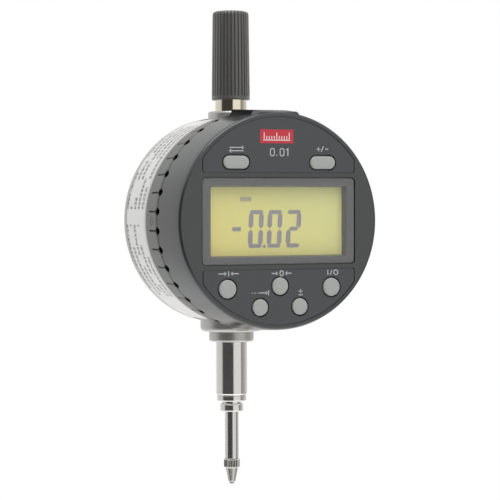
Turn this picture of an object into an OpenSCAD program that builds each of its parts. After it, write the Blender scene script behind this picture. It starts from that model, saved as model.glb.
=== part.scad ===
// Digital indicator with a turning display head, at its real size in millimetres.
// The origin is on the stem's axis at the middle of its clamping length. +Z runs up the
// stem, the display faces -Y, and +X is to the right of a person who reads it.
// A depth is measured forwards from the spindle's axis, so a depth of 10 lies at Y = -10.

/* [Overall] */
// Diameter of the round face
face_d = 63.2; // [61:0.1:80]
// Length of the display housing, from the seam to the face
housing_len = 14.7; // [12:0.1:20]
// Length of the grip ring, from the rear case to the seam
ring_len = 10.85; // [9:0.05:16]
// How much wider than the face the head is at the seam
seam_swell = 1.6; // [0.8:0.1:3]
// Length of the rear case, front to back
case_len = 16.6; // [16:0.1:22]
// Depth of the rear case's front face
case_front = 9; // [8.8:0.1:12]
// How much narrower than the face the rear case is
case_step = 0.2; // [0:0.1:1]

/* [Stem and spindle] */
// Diameter of the stem
stem_d = 9.525; // [8:0.005:12]
// Clamping length of the stem, from the collar to the shoulder
stem_len = 16.2; // [12:0.1:22]
// Diameter of the spindle
spindle_d = 4.2; // [3.5:0.1:5.1]
// Travel of the spindle
travel = 13; // [8:0.5:18]
// Length of spindle left in view at the top of the travel
spindle_margin = 1.6; // [1:0.1:4]
// Turned-down end of the stem: diameter
stem_end_d = 9; // [7.8:0.1:9.4]
// Turned-down end of the stem: length
stem_end_len = 2; // [1:0.1:4]
// Seal nut under the stem: diameter
nut_d = 7.05; // [6.8:0.05:9]
// Seal nut under the stem: length
nut_len = 2.2; // [1.5:0.1:4]
// Neck between the stem and the seal nut: length
neck_len = 1; // [0.5:0.1:2]
// Contact point's knurled collar: diameter
collar_d = 4.95; // [4.4:0.05:7]
// Contact point's knurled collar: length
collar_len = 2.8; // [2:0.1:5]
// Contact point's cone: length
cone_len = 4.3; // [3:0.1:10]
// Contact point's cone: diameter at its top
cone_top_d = 3.75; // [3:0.05:4.2]
// Contact point's cone: diameter at its foot
cone_foot_d = 2.15; // [1.8:0.05:2.6]
// Contact ball: radius
ball_r = 0.8; // [0.5:0.05:0.85]

/* [Case bosses] */
// Lower boss: diameter
boss_d = 19; // [16:0.1:22]
// Lower boss: how far it stands below the case
boss_drop = 2.35; // [1:0.05:5]
// Collar above the stem: diameter
neck_collar_d = 13.65; // [13:0.05:16]
// Collar above the stem: height
neck_collar_h = 3.15; // [2:0.05:6]
// Upper boss: diameter
top_boss_d = 13.9; // [13:0.1:15]
// Upper boss: how far it stands above the case
top_boss_rise = 1.6; // [0.5:0.05:4]

/* [Upper sleeve and cap] */
// Nickel sleeve: diameter
sleeve_d = 9.66; // [9:0.02:10]
// Length of sleeve in view between the boss and the cap
sleeve_show = 3.5; // [1:0.1:8]
// Cap: diameter at its foot
cap_foot_d = 11.65; // [11.4:0.05:14]
// Cap: diameter at its crown
cap_crown_d = 11; // [10.9:0.05:13]
// Cap: thickness of its crown
cap_crown = 4; // [2:0.1:6]
// Cap: number of flutes
flutes = 32; // [16:1:40]
// Cap: radius of each flute
flute_r = 0.36; // [0.2:0.02:0.5]

/* [Window] */
// Window lens: width
window_w = 49; // [44:0.1:50]
// Window lens: height
window_h = 25.4; // [22:0.1:25.6]
// Window lens: corner radius
window_r = 1.3; // [0.8:0.1:3]
// Visible liquid crystal: width
view_w = 42; // [36:0.1:42.6]
// Visible liquid crystal: height
view_h = 20.3; // [16:0.1:20.4]
// Digit height
digit_h = 10.9; // [8:0.05:12]
// Digit width
digit_w = 4.7; // [3.5:0.05:5]
// Digit stroke
stroke = 1.15; // [0.8:0.05:1.3]

/* [Face panels and keys] */
// Radius of the two face panels' round edges
panel_r = 30.1; // [29.5:0.05:30.2]
// Half width of the two face panels
panel_half_w = 24.2; // [23:0.1:26]
// Height of the upper panel's straight edge above the face centre
upper_edge = 14; // [13.6:0.1:14.4]
// Height of the lower panel's straight edge below the face centre
lower_edge = 14; // [13.6:0.1:14.4]
// Oval keys: width
oval_w = 8; // [6:0.1:8.6]
// Oval keys: height
oval_h = 3.7; // [3:0.1:4.2]
// Oval keys: distance to each side of the face centre
oval_x = 13.8; // [12:0.1:14]
// Oval keys: height above the face centre
oval_z = 16.95; // [16.9:0.05:18]
// Outer round keys: diameter
outer_d = 5.3; // [4:0.1:5.4]
// Middle round key: diameter
middle_d = 5; // [4:0.1:5.4]
// Inner round keys: diameter
inner_d = 4.8; // [4:0.1:5.2]
// Outer round keys: distance to each side of the face centre
outer_x = 16.6; // [15.5:0.05:17]
// Outer round keys: drop below the face centre
outer_drop = 19.4; // [19:0.05:20]
// Middle round key: drop below the face centre
middle_drop = 18.85; // [18:0.05:19.5]
// Inner round keys: distance to each side of the face centre
inner_x = 6.35; // [5:0.05:7]
// Inner round keys: drop below the face centre
inner_drop = 24.9; // [24:0.05:25]
// How far the keys stand in front of the face
key_proud = 0.5; // [0.2:0.05:1.2]
// Travel of each key
key_travel = 0.7; // [0.3:0.05:0.8]

/* [Grip ring] */
// Number of notches round the grip ring
notches = 36; // [24:1:60]
// Notch width
notch_w = 0.55; // [0.3:0.05:1.2]
// Notch depth
notch_depth = 0.4; // [0.2:0.05:0.8]
// Notch length, backwards from the seam
notch_len = 7.8; // [4:0.1:9]
// Pocket at the front end of each notch: radius
pocket_r = 0.75; // [0.4:0.05:1.1]

/* [Lug] */
// Lug hole: diameter, a quarter of an inch
lug_hole_d = 6.35; // [6:0.05:8]
// Lug: thickness
lug_w = 6; // [4:0.1:8]
// Lug: radius of its round end
lug_r = 7; // [5.5:0.1:9]
// Distance of the lug hole behind the back cover
lug_reach = 7.2; // [6:0.1:12]
// Back cover: thickness
back_t = 2; // [1.6:0.1:3]

/* [Fits] */
// Gap between pieces that move past each other
gap = 0.3; // [0.2:0.05:0.5]
// Radial gap of a running fit
run_gap = 0.03; // [0.01:0.01:0.1]
// Radial gap between pieces that are pressed or screwed together
seat_gap = 0.02; // [0.01:0.01:0.05]
// Wall of the display housing and the rear case
wall = 2.2; // [1.8:0.1:2.6]

/* [Hidden] */
$fn = 96;

// Radii and heights of the case and the head
face_r = face_d/2;
seam_r = face_r + seam_swell/2;
case_r = face_r - case_step/2;
label_t = 0.2;
label_r = case_r - 0.05;
shell_r = label_r - label_t;
centre_z = stem_len/2 + neck_collar_h + boss_drop + case_r;

// Depths, forwards from the spindle's axis
case_back = case_front - case_len;
ring_back = case_front + gap;
seam = ring_back + ring_len;
face = seam + housing_len;
back_face = case_back - back_t;

// Stack behind the face
panel_t = 0.4;
wall_back = face - wall;
lens_t = 1.25;
lens_lip = 1;
frame_t = 1.3;
frame_front = face - lens_t - 0.1;
lcd_t = 2;
lcd_front = frame_front - frame_t - 0.05;
light_t = 2.4;
board_t = 1.6;
board_front = lcd_front - lcd_t - light_t - 0.15;
board_back = board_front - board_t;
head_bore_r = seam_r - 3;

// Keys: [name, width, height, x, z], with the two oval ones first
KEYS = [
    ["key_units", oval_w, oval_h, -oval_x, oval_z],
    ["key_sign", oval_w, oval_h, oval_x, oval_z],
    ["key_mode", outer_d, outer_d, -outer_x, -outer_drop],
    ["key_zero", middle_d, middle_d, 0, -middle_drop],
    ["key_power", outer_d, outer_d, outer_x, -outer_drop],
    ["key_preset", inner_d, inner_d, -inner_x, -inner_drop],
    ["key_limits", inner_d, inner_d, inner_x, -inner_drop],
];
key_gap = 0.42;
key_flange = 0.7;
key_flange_t = 0.7;
key_foot_r = 1.5;
key_foot_len = 1.4;
mat_t = 1;

// Posts that hold the head together, on a circle round the face centre
post_circle = 26;
post_angle = 38;
post_r = 1.5;
screw_r = 0.8;
screw_head_r = 1.4;
screw_head_h = 0.8;
POST_ANGLES = [post_angle, 180 - post_angle, 180 + post_angle, -post_angle];

// Coin cell and its drawer, at the head's right side
cell_r = 10;
cell_t = 3.2;
tray_t = 3.9;
tray_floor = 0.5;
tray_half = 10.8;
tray_front = board_back - 0.45;
tray_back = tray_front - tray_t;
cell_x = head_bore_r - cell_r - 1.2;
drawer_x = cell_x - cell_r - 0.8;

// Data port and its cover, at the head's top. The cover and the lip before it form one low
// bulge, which narrows and drops from the seam to the face.
port_seam_top = 9.0;
port_seam_foot = 10.0;
port_seam_crown = seam_r + 0.4;
port_face_top = 6.0;
port_face_foot = 6.8;
port_face_crown = face_r + 0.05;
port_shoulder = face_r - 0.8;
port_front = face - 3.8;
port_back = seam + 0.6;
port_floor = seam_r - 2;
port_slot_w = 10.4;
port_slot_d = 3.5;
port_mid = (port_front + port_back)/2;
port_block_w = 9.2;
port_block_foot = port_floor - 2.6;

// Swivel between the head and the case
hub_r = 9;
hub_bore_r = 6;
hub_plate_t = 2;
hub_plate_back = ring_back + 1.5;
hub_plate_front = hub_plate_back + hub_plate_t;
hub_shoulder_r = 14;
web_t = 2;
web_back = case_front - web_t;
clip_t = 0.6;
clip_front = web_back - gap;
clip_back = clip_front - clip_t;
clip_groove_r = hub_r - 0.6;
clip_r = hub_r + 1.4;
hub_end = clip_back - 0.6;
swivel_seal_r = 0.5;
stop_circle = 18;
stop_pin_r = 1;
turn_limit = 135;
stop_half_angle = 180 - turn_limit - asin((stop_pin_r + 0.15)/stop_circle);

// Inside of the rear case
case_bore_r = shell_r - 2.7;
pillar_circle = case_bore_r - 1.2;
pillar_r = 2.2;
PILLAR_ANGLES = [45, 135, 225, 315];

// Heights on the spindle's axis
boss_foot = stem_len/2 + neck_collar_h;
case_floor_z = centre_z - case_bore_r;
boss_top = centre_z + case_r + top_boss_rise;
stem_top = case_floor_z - 0.2;
stem_step = 0.2;
stem_foot = -stem_len/2 - stem_end_len;
nut_top = stem_foot - neck_len;
nut_foot = nut_top - nut_len;
point_top = nut_foot - travel - spindle_margin;
collar_foot = point_top - collar_len;
cone_foot = collar_foot - cone_len;
bush_r = spindle_d/2 + 1;
bush_len = 10;
stop_foot = stem_top + gap;
stop_t = 2.4;
upper_bush_r = spindle_d/2 + 1.4;
upper_bush_foot = centre_z + case_bore_r - 3.6;
upper_bush_top = upper_bush_foot + 4;
sleeve_foot = upper_bush_top;
cap_foot = boss_top + sleeve_show;
seat_foot = sleeve_foot + 5.3;
seat_t = 1.4;
seat_nipple = 2;
seat_top = seat_foot + seat_t;
spring_solid = 9.3;
spring_foot = seat_top + 0.1;
spring_top = spring_foot + travel + spring_solid;
sleeve_top = spring_top + 1.2;
sleeve_bore_r = 3.7;
cap_bore_top = sleeve_top + 0.3;
cap_top = cap_bore_top + cap_crown;

// Scale carrier and read head
carrier_foot = centre_z - 11;
carrier_h = 9;
carrier_half = 5;
carrier_front = spindle_d/2 + 1.3;
carrier_back = -spindle_d/2 - 1.6;
scale_half = 4;
scale_len = 32;
scale_t = 0.8;
scale_back = carrier_back - scale_t;
scale_foot = centre_z - 23;
reader_front = scale_back - gap - 0.05;
sensor_front = reader_front - 0.3;
sensor_t = 1.2;
sensor_half = 16;
sensor_foot = centre_z - 11;
sensor_h = 23;
STANDOFFS = [[-13.5, 9], [13.5, -8]];
pin_z = carrier_foot + carrier_h/2;
pin_r = 1;
pin_end = 9.8;
rail_x = 7.5;
rail_w = 4;
rail_half = 3.2;
rail_foot = pin_z - 7;
rail_h = travel + 14;
rail_lug = 3.5;

// Return spring
spring_wire_r = 0.25;
spring_mean_r = 2.75;
spring_turns = 11;
spring_steps = 16;
spring_sides = 6;

// Digits: the strokes of "-0.02" and where each figure starts
digit_slant = 2.9;
digit_t = 0.05;
digit_z = -2.3;
DIGIT_X = [-6.45, -0.45, 5.65];
// Width of a figure's upright strokes
upright_w = 1.45;
DIGIT_STROKES = [[0, 1, 2, 3, 4, 5], [0, 1, 2, 3, 4, 5], [0, 1, 6, 4, 3]];

// ---- helpers ----

// Moves a piece from the head's own centre line to its place above the stem
module at_head() {
    translate([0, 0, centre_z]) children();
}

// A flat outline, drawn as X and Z, as a slab between two depths
module slab(from, to) {
    rotate([90, 0, 0]) translate([0, 0, from]) linear_extrude(to - from) children();
}

// A profile of [radius, depth] points turned round the head's centre line
module turned(points) {
    rotate([90, 0, 0]) rotate_extrude() polygon(points);
}

// A flat washer or tube round the head's centre line
module tube(r_out, r_in, from, to) {
    turned([[r_in, from], [r_out, from], [r_out, to], [r_in, to]]);
}

// A profile of [radius, height] points turned round the spindle's axis
module upright(points) {
    rotate_extrude() polygon(points);
}

// A ring of round section round the spindle's axis
module o_ring(mean_r, wire_r, z) {
    translate([0, 0, z]) rotate_extrude() translate([mean_r, 0]) circle(wire_r, $fn = 24);
}

// A rectangle with round corners
module rounded(w, h, r) {
    square([w - 2*r, h], center = true);
    square([w, h - 2*r], center = true);
    for (sx = [-1, 1], sy = [-1, 1])
        translate([sx*(w/2 - r), sy*(h/2 - r)]) circle(r, $fn = 32);
}

// A key's outline, round or with round ends
module key_outline(w, h, grow = 0) {
    r = h/2 + grow;
    for (s = [-1, 1])
        translate([s*(w - h)/2, 0]) circle(r, $fn = 48);
    if (w > h)
        square([w - h, 2*r], center = true);
}

// A screw along the depth direction: its head is at depth "at", its shank runs forwards
module screw(at, len) {
    slab(at - screw_head_h, at) circle(screw_head_r, $fn = 32);
    slab(at, at + len) circle(screw_r, $fn = 32);
}

// Places children round the head's centre line
module on_circle(r, angles) {
    for (a = angles)
        translate([r*cos(a), 0, r*sin(a)]) children();
}

// ---- rear case ----

module case_profile() {
    turned([[case_bore_r, case_back], [case_r, case_back], [case_r, case_back + 0.6],
        [shell_r, case_back + 0.6], [shell_r, case_front - 0.9], [case_r, case_front - 0.9],
        [case_r, case_front], [hub_r + run_gap, case_front], [hub_r + run_gap, web_back],
        [case_bore_r, web_back]]);
}

module case_bosses() {
    edge = 1.2;
    intersection() {
        union() {
            upright([[0, boss_foot], [boss_d/2 - edge, boss_foot], [boss_d/2, boss_foot + edge],
                [boss_d/2, case_floor_z + 1.5], [0, case_floor_z + 1.5]]);
            upright([[0, upper_bush_foot], [top_boss_d/2, upper_bush_foot],
                [top_boss_d/2, boss_top - 0.5], [top_boss_d/2 - 0.5, boss_top], [0, boss_top]]);
        }
        at_head() slab(case_back, case_front) square(4*case_r, center = true);
    }
    upright([[0, stem_len/2], [neck_collar_d/2 - 0.8, stem_len/2],
        [neck_collar_d/2, stem_len/2 + 0.8], [neck_collar_d/2, boss_foot + 0.5],
        [0, boss_foot + 0.5]]);
}

module rear_housing() {
    color("silver") difference() {
        union() {
            at_head() case_profile();
            case_bosses();
            at_head() on_circle(pillar_circle, PILLAR_ANGLES)
                slab(case_back, web_back) circle(pillar_r, $fn = 32);
            at_head() for (p = STANDOFFS)
                translate([p[0], 0, p[1]]) slab(sensor_front, web_back) circle(1.8, $fn = 32);
        }
        translate([0, 0, stem_len/2 - 1])
            cylinder(r = stem_d/2 - stem_step + seat_gap, h = stem_top - stem_len/2 + 5);
        translate([0, 0, upper_bush_foot - 1])
            cylinder(r = upper_bush_r + seat_gap, h = 6);
        translate([0, 0, sleeve_foot])
            cylinder(r = sleeve_d/2 + seat_gap, h = boss_top - sleeve_foot + 1);
        at_head() on_circle(pillar_circle, PILLAR_ANGLES)
            slab(case_back - 1, case_back + 5) circle(screw_r + seat_gap, $fn = 32);
        at_head() for (p = STANDOFFS)
            translate([p[0], 0, p[1]]) slab(sensor_front - 1, sensor_front + 3)
                circle(screw_r + seat_gap, $fn = 32);
        at_head() tube(hub_r + 1.3, hub_r, case_front - 1.5, case_front - 0.5);
        at_head() translate([0, 0, -stop_circle]) slab(case_front - 1.5, case_front + 1)
            circle(stop_pin_r + seat_gap, $fn = 32);
    }
}

module label_band() {
    color("whitesmoke") at_head() difference() {
        tube(label_r, shell_r, case_back + 0.65, case_front - 0.95);
        slab(case_back, case_front) translate([0, 2*case_r])
            square([top_boss_d + 2, 4*case_r], center = true);
        slab(case_back, case_front) translate([0, -2*case_r])
            square([boss_d + 1, 4*case_r], center = true);
    }
}

module back_cover() {
    edge = 1.1;
    hole_depth = back_face - lug_reach;
    color("silver") at_head() difference() {
        union() {
            turned([[0, back_face], [case_r - edge, back_face], [case_r, back_face + edge],
                [case_r, case_back], [0, case_back]]);
            translate([-lug_w/2, -back_face, -lug_r]) cube([lug_w, lug_reach, 2*lug_r]);
            translate([-lug_w/2, -hole_depth, 0]) rotate([0, 90, 0]) cylinder(r = lug_r, h = lug_w);
        }
        translate([-lug_w, -hole_depth, 0]) rotate([0, 90, 0])
            cylinder(r = lug_hole_d/2, h = 2*lug_w);
        tube(case_bore_r + 1.8, case_bore_r + 0.5, case_back - 0.6, case_back + 1);
        on_circle(pillar_circle, PILLAR_ANGLES) slab(back_face - 1, case_back + 1)
            circle(screw_r + 0.1, $fn = 32);
        on_circle(pillar_circle, PILLAR_ANGLES) slab(back_face - 1, back_face + screw_head_h + 0.1)
            circle(screw_head_r + 0.1, $fn = 32);
    }
}

module back_gasket() {
    color("dimgray") at_head()
        tube(case_bore_r + 1.75, case_bore_r + 0.55, case_back - 0.58, case_back);
}

module back_screws() {
    color("lightgray") at_head() on_circle(pillar_circle, PILLAR_ANGLES)
        screw(back_face + screw_head_h + 0.1, back_t + 3);
}

module stem() {
    r = stem_d/2;
    bore_r = spindle_d/2 + 0.4;
    color("gainsboro") upright([[bush_r + seat_gap, stem_foot], [stem_end_d/2 - 0.3, stem_foot],
        [stem_end_d/2, stem_foot + 0.3], [stem_end_d/2, -stem_len/2 - 0.25],
        [r, -stem_len/2], [r, stem_len/2], [r - stem_step, stem_len/2],
        [r - stem_step, stem_top], [bore_r, stem_top],
        [bore_r, stem_foot + bush_len + 3], [bush_r + seat_gap, stem_foot + bush_len + 3]]);
}

module lower_bush() {
    color("peru") translate([0, 0, stem_foot + 3]) difference() {
        cylinder(r = bush_r, h = bush_len);
        translate([0, 0, -1]) cylinder(r = spindle_d/2 + run_gap, h = bush_len + 2);
    }
}

module stem_seal() {
    color("black") translate([0, 0, nut_foot + 0.8]) difference() {
        cylinder(r = bush_r - 0.3, h = 1.6);
        translate([0, 0, -1]) cylinder(r = spindle_d/2 + run_gap, h = 4);
    }
}

module seal_nut() {
    seal_top = nut_foot + 2.4;
    color("lightgray") difference() {
        upright([[0, nut_foot], [nut_d/2 - 0.2, nut_foot], [nut_d/2, nut_foot + 0.2],
            [nut_d/2, nut_top], [bush_r, nut_top + 0.4], [bush_r, stem_foot + 2.9],
            [0, stem_foot + 2.9]]);
        translate([0, 0, nut_foot - 1])
            cylinder(r = spindle_d/2 + 0.15, h = 20);
        translate([0, 0, nut_foot + 0.8])
            cylinder(r = bush_r - 0.3 + seat_gap, h = seal_top - nut_foot - 0.8);
    }
}

module upper_bush() {
    color("peru") translate([0, 0, upper_bush_foot]) difference() {
        cylinder(r = upper_bush_r, h = upper_bush_top - upper_bush_foot);
        translate([0, 0, -1]) cylinder(r = spindle_d/2 + run_gap, h = 10);
    }
}

module upper_sleeve() {
    groove = cap_foot + 2.4;
    r = sleeve_d/2;
    color("wheat") upright([[sleeve_bore_r, sleeve_foot], [r, sleeve_foot], [r, groove],
        [r - 0.6, groove], [r - 0.6, groove + 0.8], [r, groove + 0.8], [r, sleeve_top - 0.5],
        [r - 0.5, sleeve_top], [0, sleeve_top], [0, spring_top], [sleeve_bore_r, spring_top]]);
}

module top_cap() {
    foot_r = cap_foot_d/2;
    crown_r = cap_crown_d/2;
    edge = 1.2;
    rim = 1;
    bore_r = sleeve_d/2 + 0.04;
    tilt = atan((foot_r - crown_r)/(cap_top - cap_foot));
    color("dimgray") difference() {
        upright([[0, cap_foot], [foot_r, cap_foot], [crown_r, cap_top - edge],
            [crown_r - 0.35*edge, cap_top - 0.35*edge], [crown_r - edge, cap_top], [0, cap_top]]);
        translate([0, 0, cap_foot - 1]) cylinder(r = bore_r, h = cap_bore_top - cap_foot + 1);
        for (i = [0:flutes - 1])
            rotate([0, 0, i*360/flutes]) translate([foot_r + 0.1, 0, cap_foot + rim])
                rotate([0, -tilt, 0]) cylinder(r = flute_r, h = cap_top - cap_foot + 2, $fn = 16);
    }
}

module cap_o_ring() {
    color("black") o_ring(sleeve_d/2 - 0.27, 0.28, cap_foot + 2.8);
}

// Points of one turn-step of the spring's wire
function spring_ring(i) = let(
        steps = spring_turns*spring_steps,
        a = 360*i/spring_steps,
        z = spring_foot + spring_wire_r + (spring_top - spring_foot - 2*spring_wire_r)*i/steps)
    [for (k = [0:spring_sides - 1]) let(
        b = 360*k/spring_sides,
        r = spring_mean_r + spring_wire_r*cos(b))
        [r*cos(a), r*sin(a), z + spring_wire_r*sin(b)]];

module return_spring() {
    steps = spring_turns*spring_steps;
    n = spring_sides;
    points = [for (i = [0:steps], p = spring_ring(i)) p];
    sides = [for (i = [0:steps - 1], k = [0:n - 1])
        [i*n + k, i*n + (k + 1)%n, (i + 1)*n + (k + 1)%n, (i + 1)*n + k]];
    ends = [[for (k = [n - 1:-1:0]) k], [for (k = [0:n - 1]) steps*n + k]];
    color("silver") polyhedron(points, concat(ends, sides));
}

module sensor_board() {
    color("seagreen") at_head() difference() {
        union() {
            translate([0, 0, sensor_foot - centre_z + sensor_h/2])
                slab(sensor_front - sensor_t, sensor_front) square([2*sensor_half, sensor_h], center = true);
            slab(sensor_front, reader_front) square([9, 16], center = true);
        }
        for (p = STANDOFFS)
            translate([p[0], 0, p[1]]) slab(sensor_front - 5, sensor_front + 5)
                circle(screw_r + 0.1, $fn = 32);
    }
}

module sensor_screws() {
    color("lightgray") at_head() for (p = STANDOFFS)
        translate([p[0], 0, p[1]]) screw(sensor_front - sensor_t, sensor_t + 2.8);
}

module guide_rail() {
    color("gainsboro") difference() {
        union() {
            translate([rail_x, -rail_half, rail_foot]) cube([rail_w, 2*rail_half, rail_h]);
            for (z = [rail_foot, rail_foot + rail_h - rail_lug])
                translate([rail_x, -web_back, z]) cube([rail_w, web_back, rail_lug]);
        }
        translate([rail_x - 1, -pin_r - run_gap, rail_foot - 1])
            cube([pin_end - rail_x + 1 + gap, 2*(pin_r + run_gap), rail_h + 2]);
    }
}

module swivel_seal() {
    color("black") at_head() rotate([90, 0, 0]) o_ring(hub_r + 0.66, swivel_seal_r, case_front - 1);
}

module stop_pin() {
    color("gray") at_head() translate([0, 0, -stop_circle])
        slab(case_front - 1.5, hub_plate_back - gap) circle(stop_pin_r, $fn = 32);
}

module sensor_flex() {
    t = 0.2;
    x = -sensor_half - t;
    reach = hub_bore_r - 1.6;
    bend = clip_back - 1.6;
    color("orange") at_head() {
        translate([x, -bend, -2]) cube([t, bend - sensor_front + sensor_t, 4]);
        translate([x, -bend - t, -2]) cube([-reach - x + t, t, 4]);
        translate([-reach, -hub_plate_front - 0.6, -2]) cube([t, hub_plate_front + 0.6 - bend, 4]);
    }
}

// ---- spindle and what rides on it ----

module spindle() {
    color("gainsboro") difference() {
        upright([[0, point_top], [spindle_d/2 - 0.2, point_top], [spindle_d/2, point_top + 0.2],
            [spindle_d/2, seat_foot - 0.2], [spindle_d/2 - 0.2, seat_foot], [0, seat_foot]]);
        translate([0, 0, point_top - 1]) cylinder(r = 1.25 + seat_gap, h = 6);
    }
}

module contact_point() {
    r = collar_d/2;
    color("silver") difference() {
        upright([[0, cone_foot], [cone_foot_d/2, cone_foot], [cone_top_d/2, collar_foot - 0.3],
            [r - 0.25, collar_foot], [r, collar_foot + 0.25], [r, point_top - 0.25],
            [r - 0.25, point_top], [1.25, point_top], [1.25, point_top + 4], [0, point_top + 4]]);
        translate([0, 0, cone_foot]) sphere(ball_r + seat_gap);
    }
}

module contact_ball() {
    color("gray") translate([0, 0, cone_foot]) sphere(ball_r);
}

module scale_carrier() {
    color("slategray") difference() {
        translate([-carrier_half, -carrier_front, carrier_foot])
            cube([2*carrier_half, carrier_front - carrier_back, carrier_h]);
        translate([0, 0, carrier_foot - 1]) cylinder(r = spindle_d/2 + seat_gap, h = carrier_h + 2);
        translate([0, 0, pin_z]) rotate([0, 90, 0]) cylinder(r = pin_r + seat_gap, h = 20, $fn = 32);
        translate([-3.4, 0, pin_z]) slab(carrier_back - 1, carrier_front + 1)
            circle(screw_r + seat_gap, $fn = 32);
    }
}

module encoder_scale() {
    color("khaki") translate([-scale_half, -carrier_back, scale_foot])
        cube([2*scale_half, scale_t, scale_len]);
}

module carrier_screw() {
    color("lightgray") translate([-3.4, 0, pin_z]) {
        slab(carrier_front, carrier_front + screw_head_h) circle(1.2, $fn = 32);
        slab(carrier_back + 0.5, carrier_front) circle(screw_r, $fn = 32);
    }
}

module guide_pin() {
    color("gainsboro") translate([spindle_d/2 + 0.1, 0, pin_z]) rotate([0, 90, 0])
        cylinder(r = pin_r, h = pin_end - spindle_d/2 - 0.1, $fn = 32);
}

module stop_collar() {
    color("gray") translate([0, 0, stop_foot]) difference() {
        cylinder(r = spindle_d/2 + 1.9, h = stop_t);
        translate([0, 0, -1]) cylinder(r = spindle_d/2 + seat_gap, h = stop_t + 2);
    }
}

module spring_seat() {
    r = sleeve_bore_r - 0.4;
    color("gainsboro") upright([[0, seat_foot], [r, seat_foot], [r, seat_top],
        [spring_mean_r - spring_wire_r - 0.4, seat_top],
        [spring_mean_r - spring_wire_r - 0.4, seat_top + seat_nipple], [0, seat_top + seat_nipple]]);
}

// ---- display head ----

// The slot that the battery drawer slides in, through the head's right wall
module drawer_slot() {
    translate([cell_x, -tray_front - gap, -tray_half - gap])
        cube([2*seam_r, tray_t + 2*gap, 2*(tray_half + gap)]);
}

// A stretch of the low bulge that the data port's cover and the lip before it share
module port_bulge(grow, back, front) {
    thin = 0.01;
    hull() for (d = [back, front - thin]) {
        share = (d - seam)/(face - seam);
        top = port_seam_top + (port_face_top - port_seam_top)*share + grow;
        foot = port_seam_foot + (port_face_foot - port_seam_foot)*share + grow;
        crown = port_seam_crown + (port_face_crown - port_seam_crown)*share;
        slab(d, d + thin) polygon([[-foot, port_floor], [foot, port_floor], [foot, port_shoulder],
            [top, crown], [-top, crown], [-foot, port_shoulder]]);
    }
}

module display_housing() {
    edge = 0.5;
    color("dimgray") at_head() difference() {
        union() {
            difference() {
                union() {
                    turned([[0, face], [face_r - edge, face], [face_r, face - edge],
                        [seam_r, seam], [head_bore_r, seam], [head_bore_r, wall_back],
                        [0, wall_back]]);
                    port_bulge(0, port_front, face - edge);
                }
                port_bulge(gap, port_back - gap, port_front + gap);
                slab(port_back - gap, port_front + gap) translate([0, seam_r])
                    square([2*(port_face_foot + gap), 2], center = true);
            }
            on_circle(post_circle, POST_ANGLES) slab(hub_plate_front, wall_back)
                circle(post_r, $fn = 32);
        }
        slab(frame_front, face + 1) rounded(window_w, window_h, window_r);
        slab(wall_back - 1, face + 1) rounded(window_w - 2*lens_lip, window_h - 2*lens_lip, window_r);
        slab(face - panel_t, face + 1) upper_outline();
        slab(face - panel_t, face + 1) lower_outline();
        for (k = KEYS)
            translate([k[3], 0, k[4]]) slab(wall_back - 1, face + 1) key_outline(k[1], k[2], key_gap);
        on_circle(post_circle, POST_ANGLES) slab(hub_plate_front - 1, hub_plate_front + 5)
            circle(screw_r + seat_gap, $fn = 32);
        drawer_slot();
        slab(port_mid - port_slot_d/2, port_mid + port_slot_d/2)
            translate([0, port_floor]) square([port_slot_w, 8], center = true);
    }
}

module upper_outline() {
    intersection() {
        circle(panel_r);
        translate([-panel_half_w, upper_edge]) square([2*panel_half_w, panel_r]);
    }
}

module lower_outline() {
    intersection() {
        circle(panel_r);
        translate([-panel_half_w, -lower_edge - panel_r]) square([2*panel_half_w, panel_r]);
    }
}

module grip_ring() {
    edge = 0.6;
    rear_r = case_r + 0.2;
    lip_r = head_bore_r - 1.4;
    color("gray") at_head() difference() {
        turned([[lip_r, ring_back], [rear_r - edge, ring_back], [rear_r, ring_back + edge],
            [seam_r, seam - 2], [seam_r, seam - 0.05], [head_bore_r, seam - 0.05],
            [head_bore_r, hub_plate_back], [lip_r, hub_plate_back]]);
        for (i = [0:notches - 1])
            rotate([0, (i + 0.5)*360/notches, 0]) {
                translate([seam_r - notch_depth, -seam - 1, -notch_w/2])
                    cube([2, notch_len + 1, notch_w]);
                translate([seam_r - 0.6, -seam, 0]) rotate([0, 90, 0])
                    cylinder(r = pocket_r, h = 2, $fn = 16);
            }
        drawer_slot();
    }
}

module swivel_hub() {
    plate_r = head_bore_r - 0.15;
    color("silver") at_head() difference() {
        union() {
            turned([[hub_bore_r, hub_end], [hub_r, hub_end], [hub_r, clip_back],
                [clip_groove_r, clip_back], [clip_groove_r, clip_front], [hub_r, clip_front],
                [hub_r, ring_back], [hub_shoulder_r, ring_back], [hub_shoulder_r, hub_plate_back],
                [plate_r, hub_plate_back], [plate_r, hub_plate_front],
                [hub_bore_r, hub_plate_front]]);
            intersection() {
                tube(stop_circle + 1.5, stop_circle - 1.5, ring_back, hub_plate_back);
                slab(ring_back, hub_plate_back) polygon([[0, 0],
                    2*stop_circle*[-sin(stop_half_angle), cos(stop_half_angle)],
                    2*stop_circle*[sin(stop_half_angle), cos(stop_half_angle)]]);
            }
        }
        on_circle(post_circle, POST_ANGLES) slab(hub_plate_back - 1, hub_plate_front + 1)
            circle(screw_r + 0.1, $fn = 32);
        on_circle(post_circle, POST_ANGLES)
            slab(hub_plate_back - 1, hub_plate_back + screw_head_h + 0.1)
                circle(screw_head_r + 0.1, $fn = 32);
    }
}

module swivel_clip() {
    color("gainsboro") at_head() difference() {
        tube(clip_r, clip_groove_r + 0.02, clip_back + 0.05, clip_front - 0.05);
        slab(clip_back - 1, clip_front + 1) translate([0, clip_r]) square([3, 2*clip_r - 4], center = true);
    }
}

module head_screws() {
    color("lightgray") at_head() on_circle(post_circle, POST_ANGLES)
        screw(hub_plate_back + screw_head_h, hub_plate_t + 3.5);
}

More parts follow.
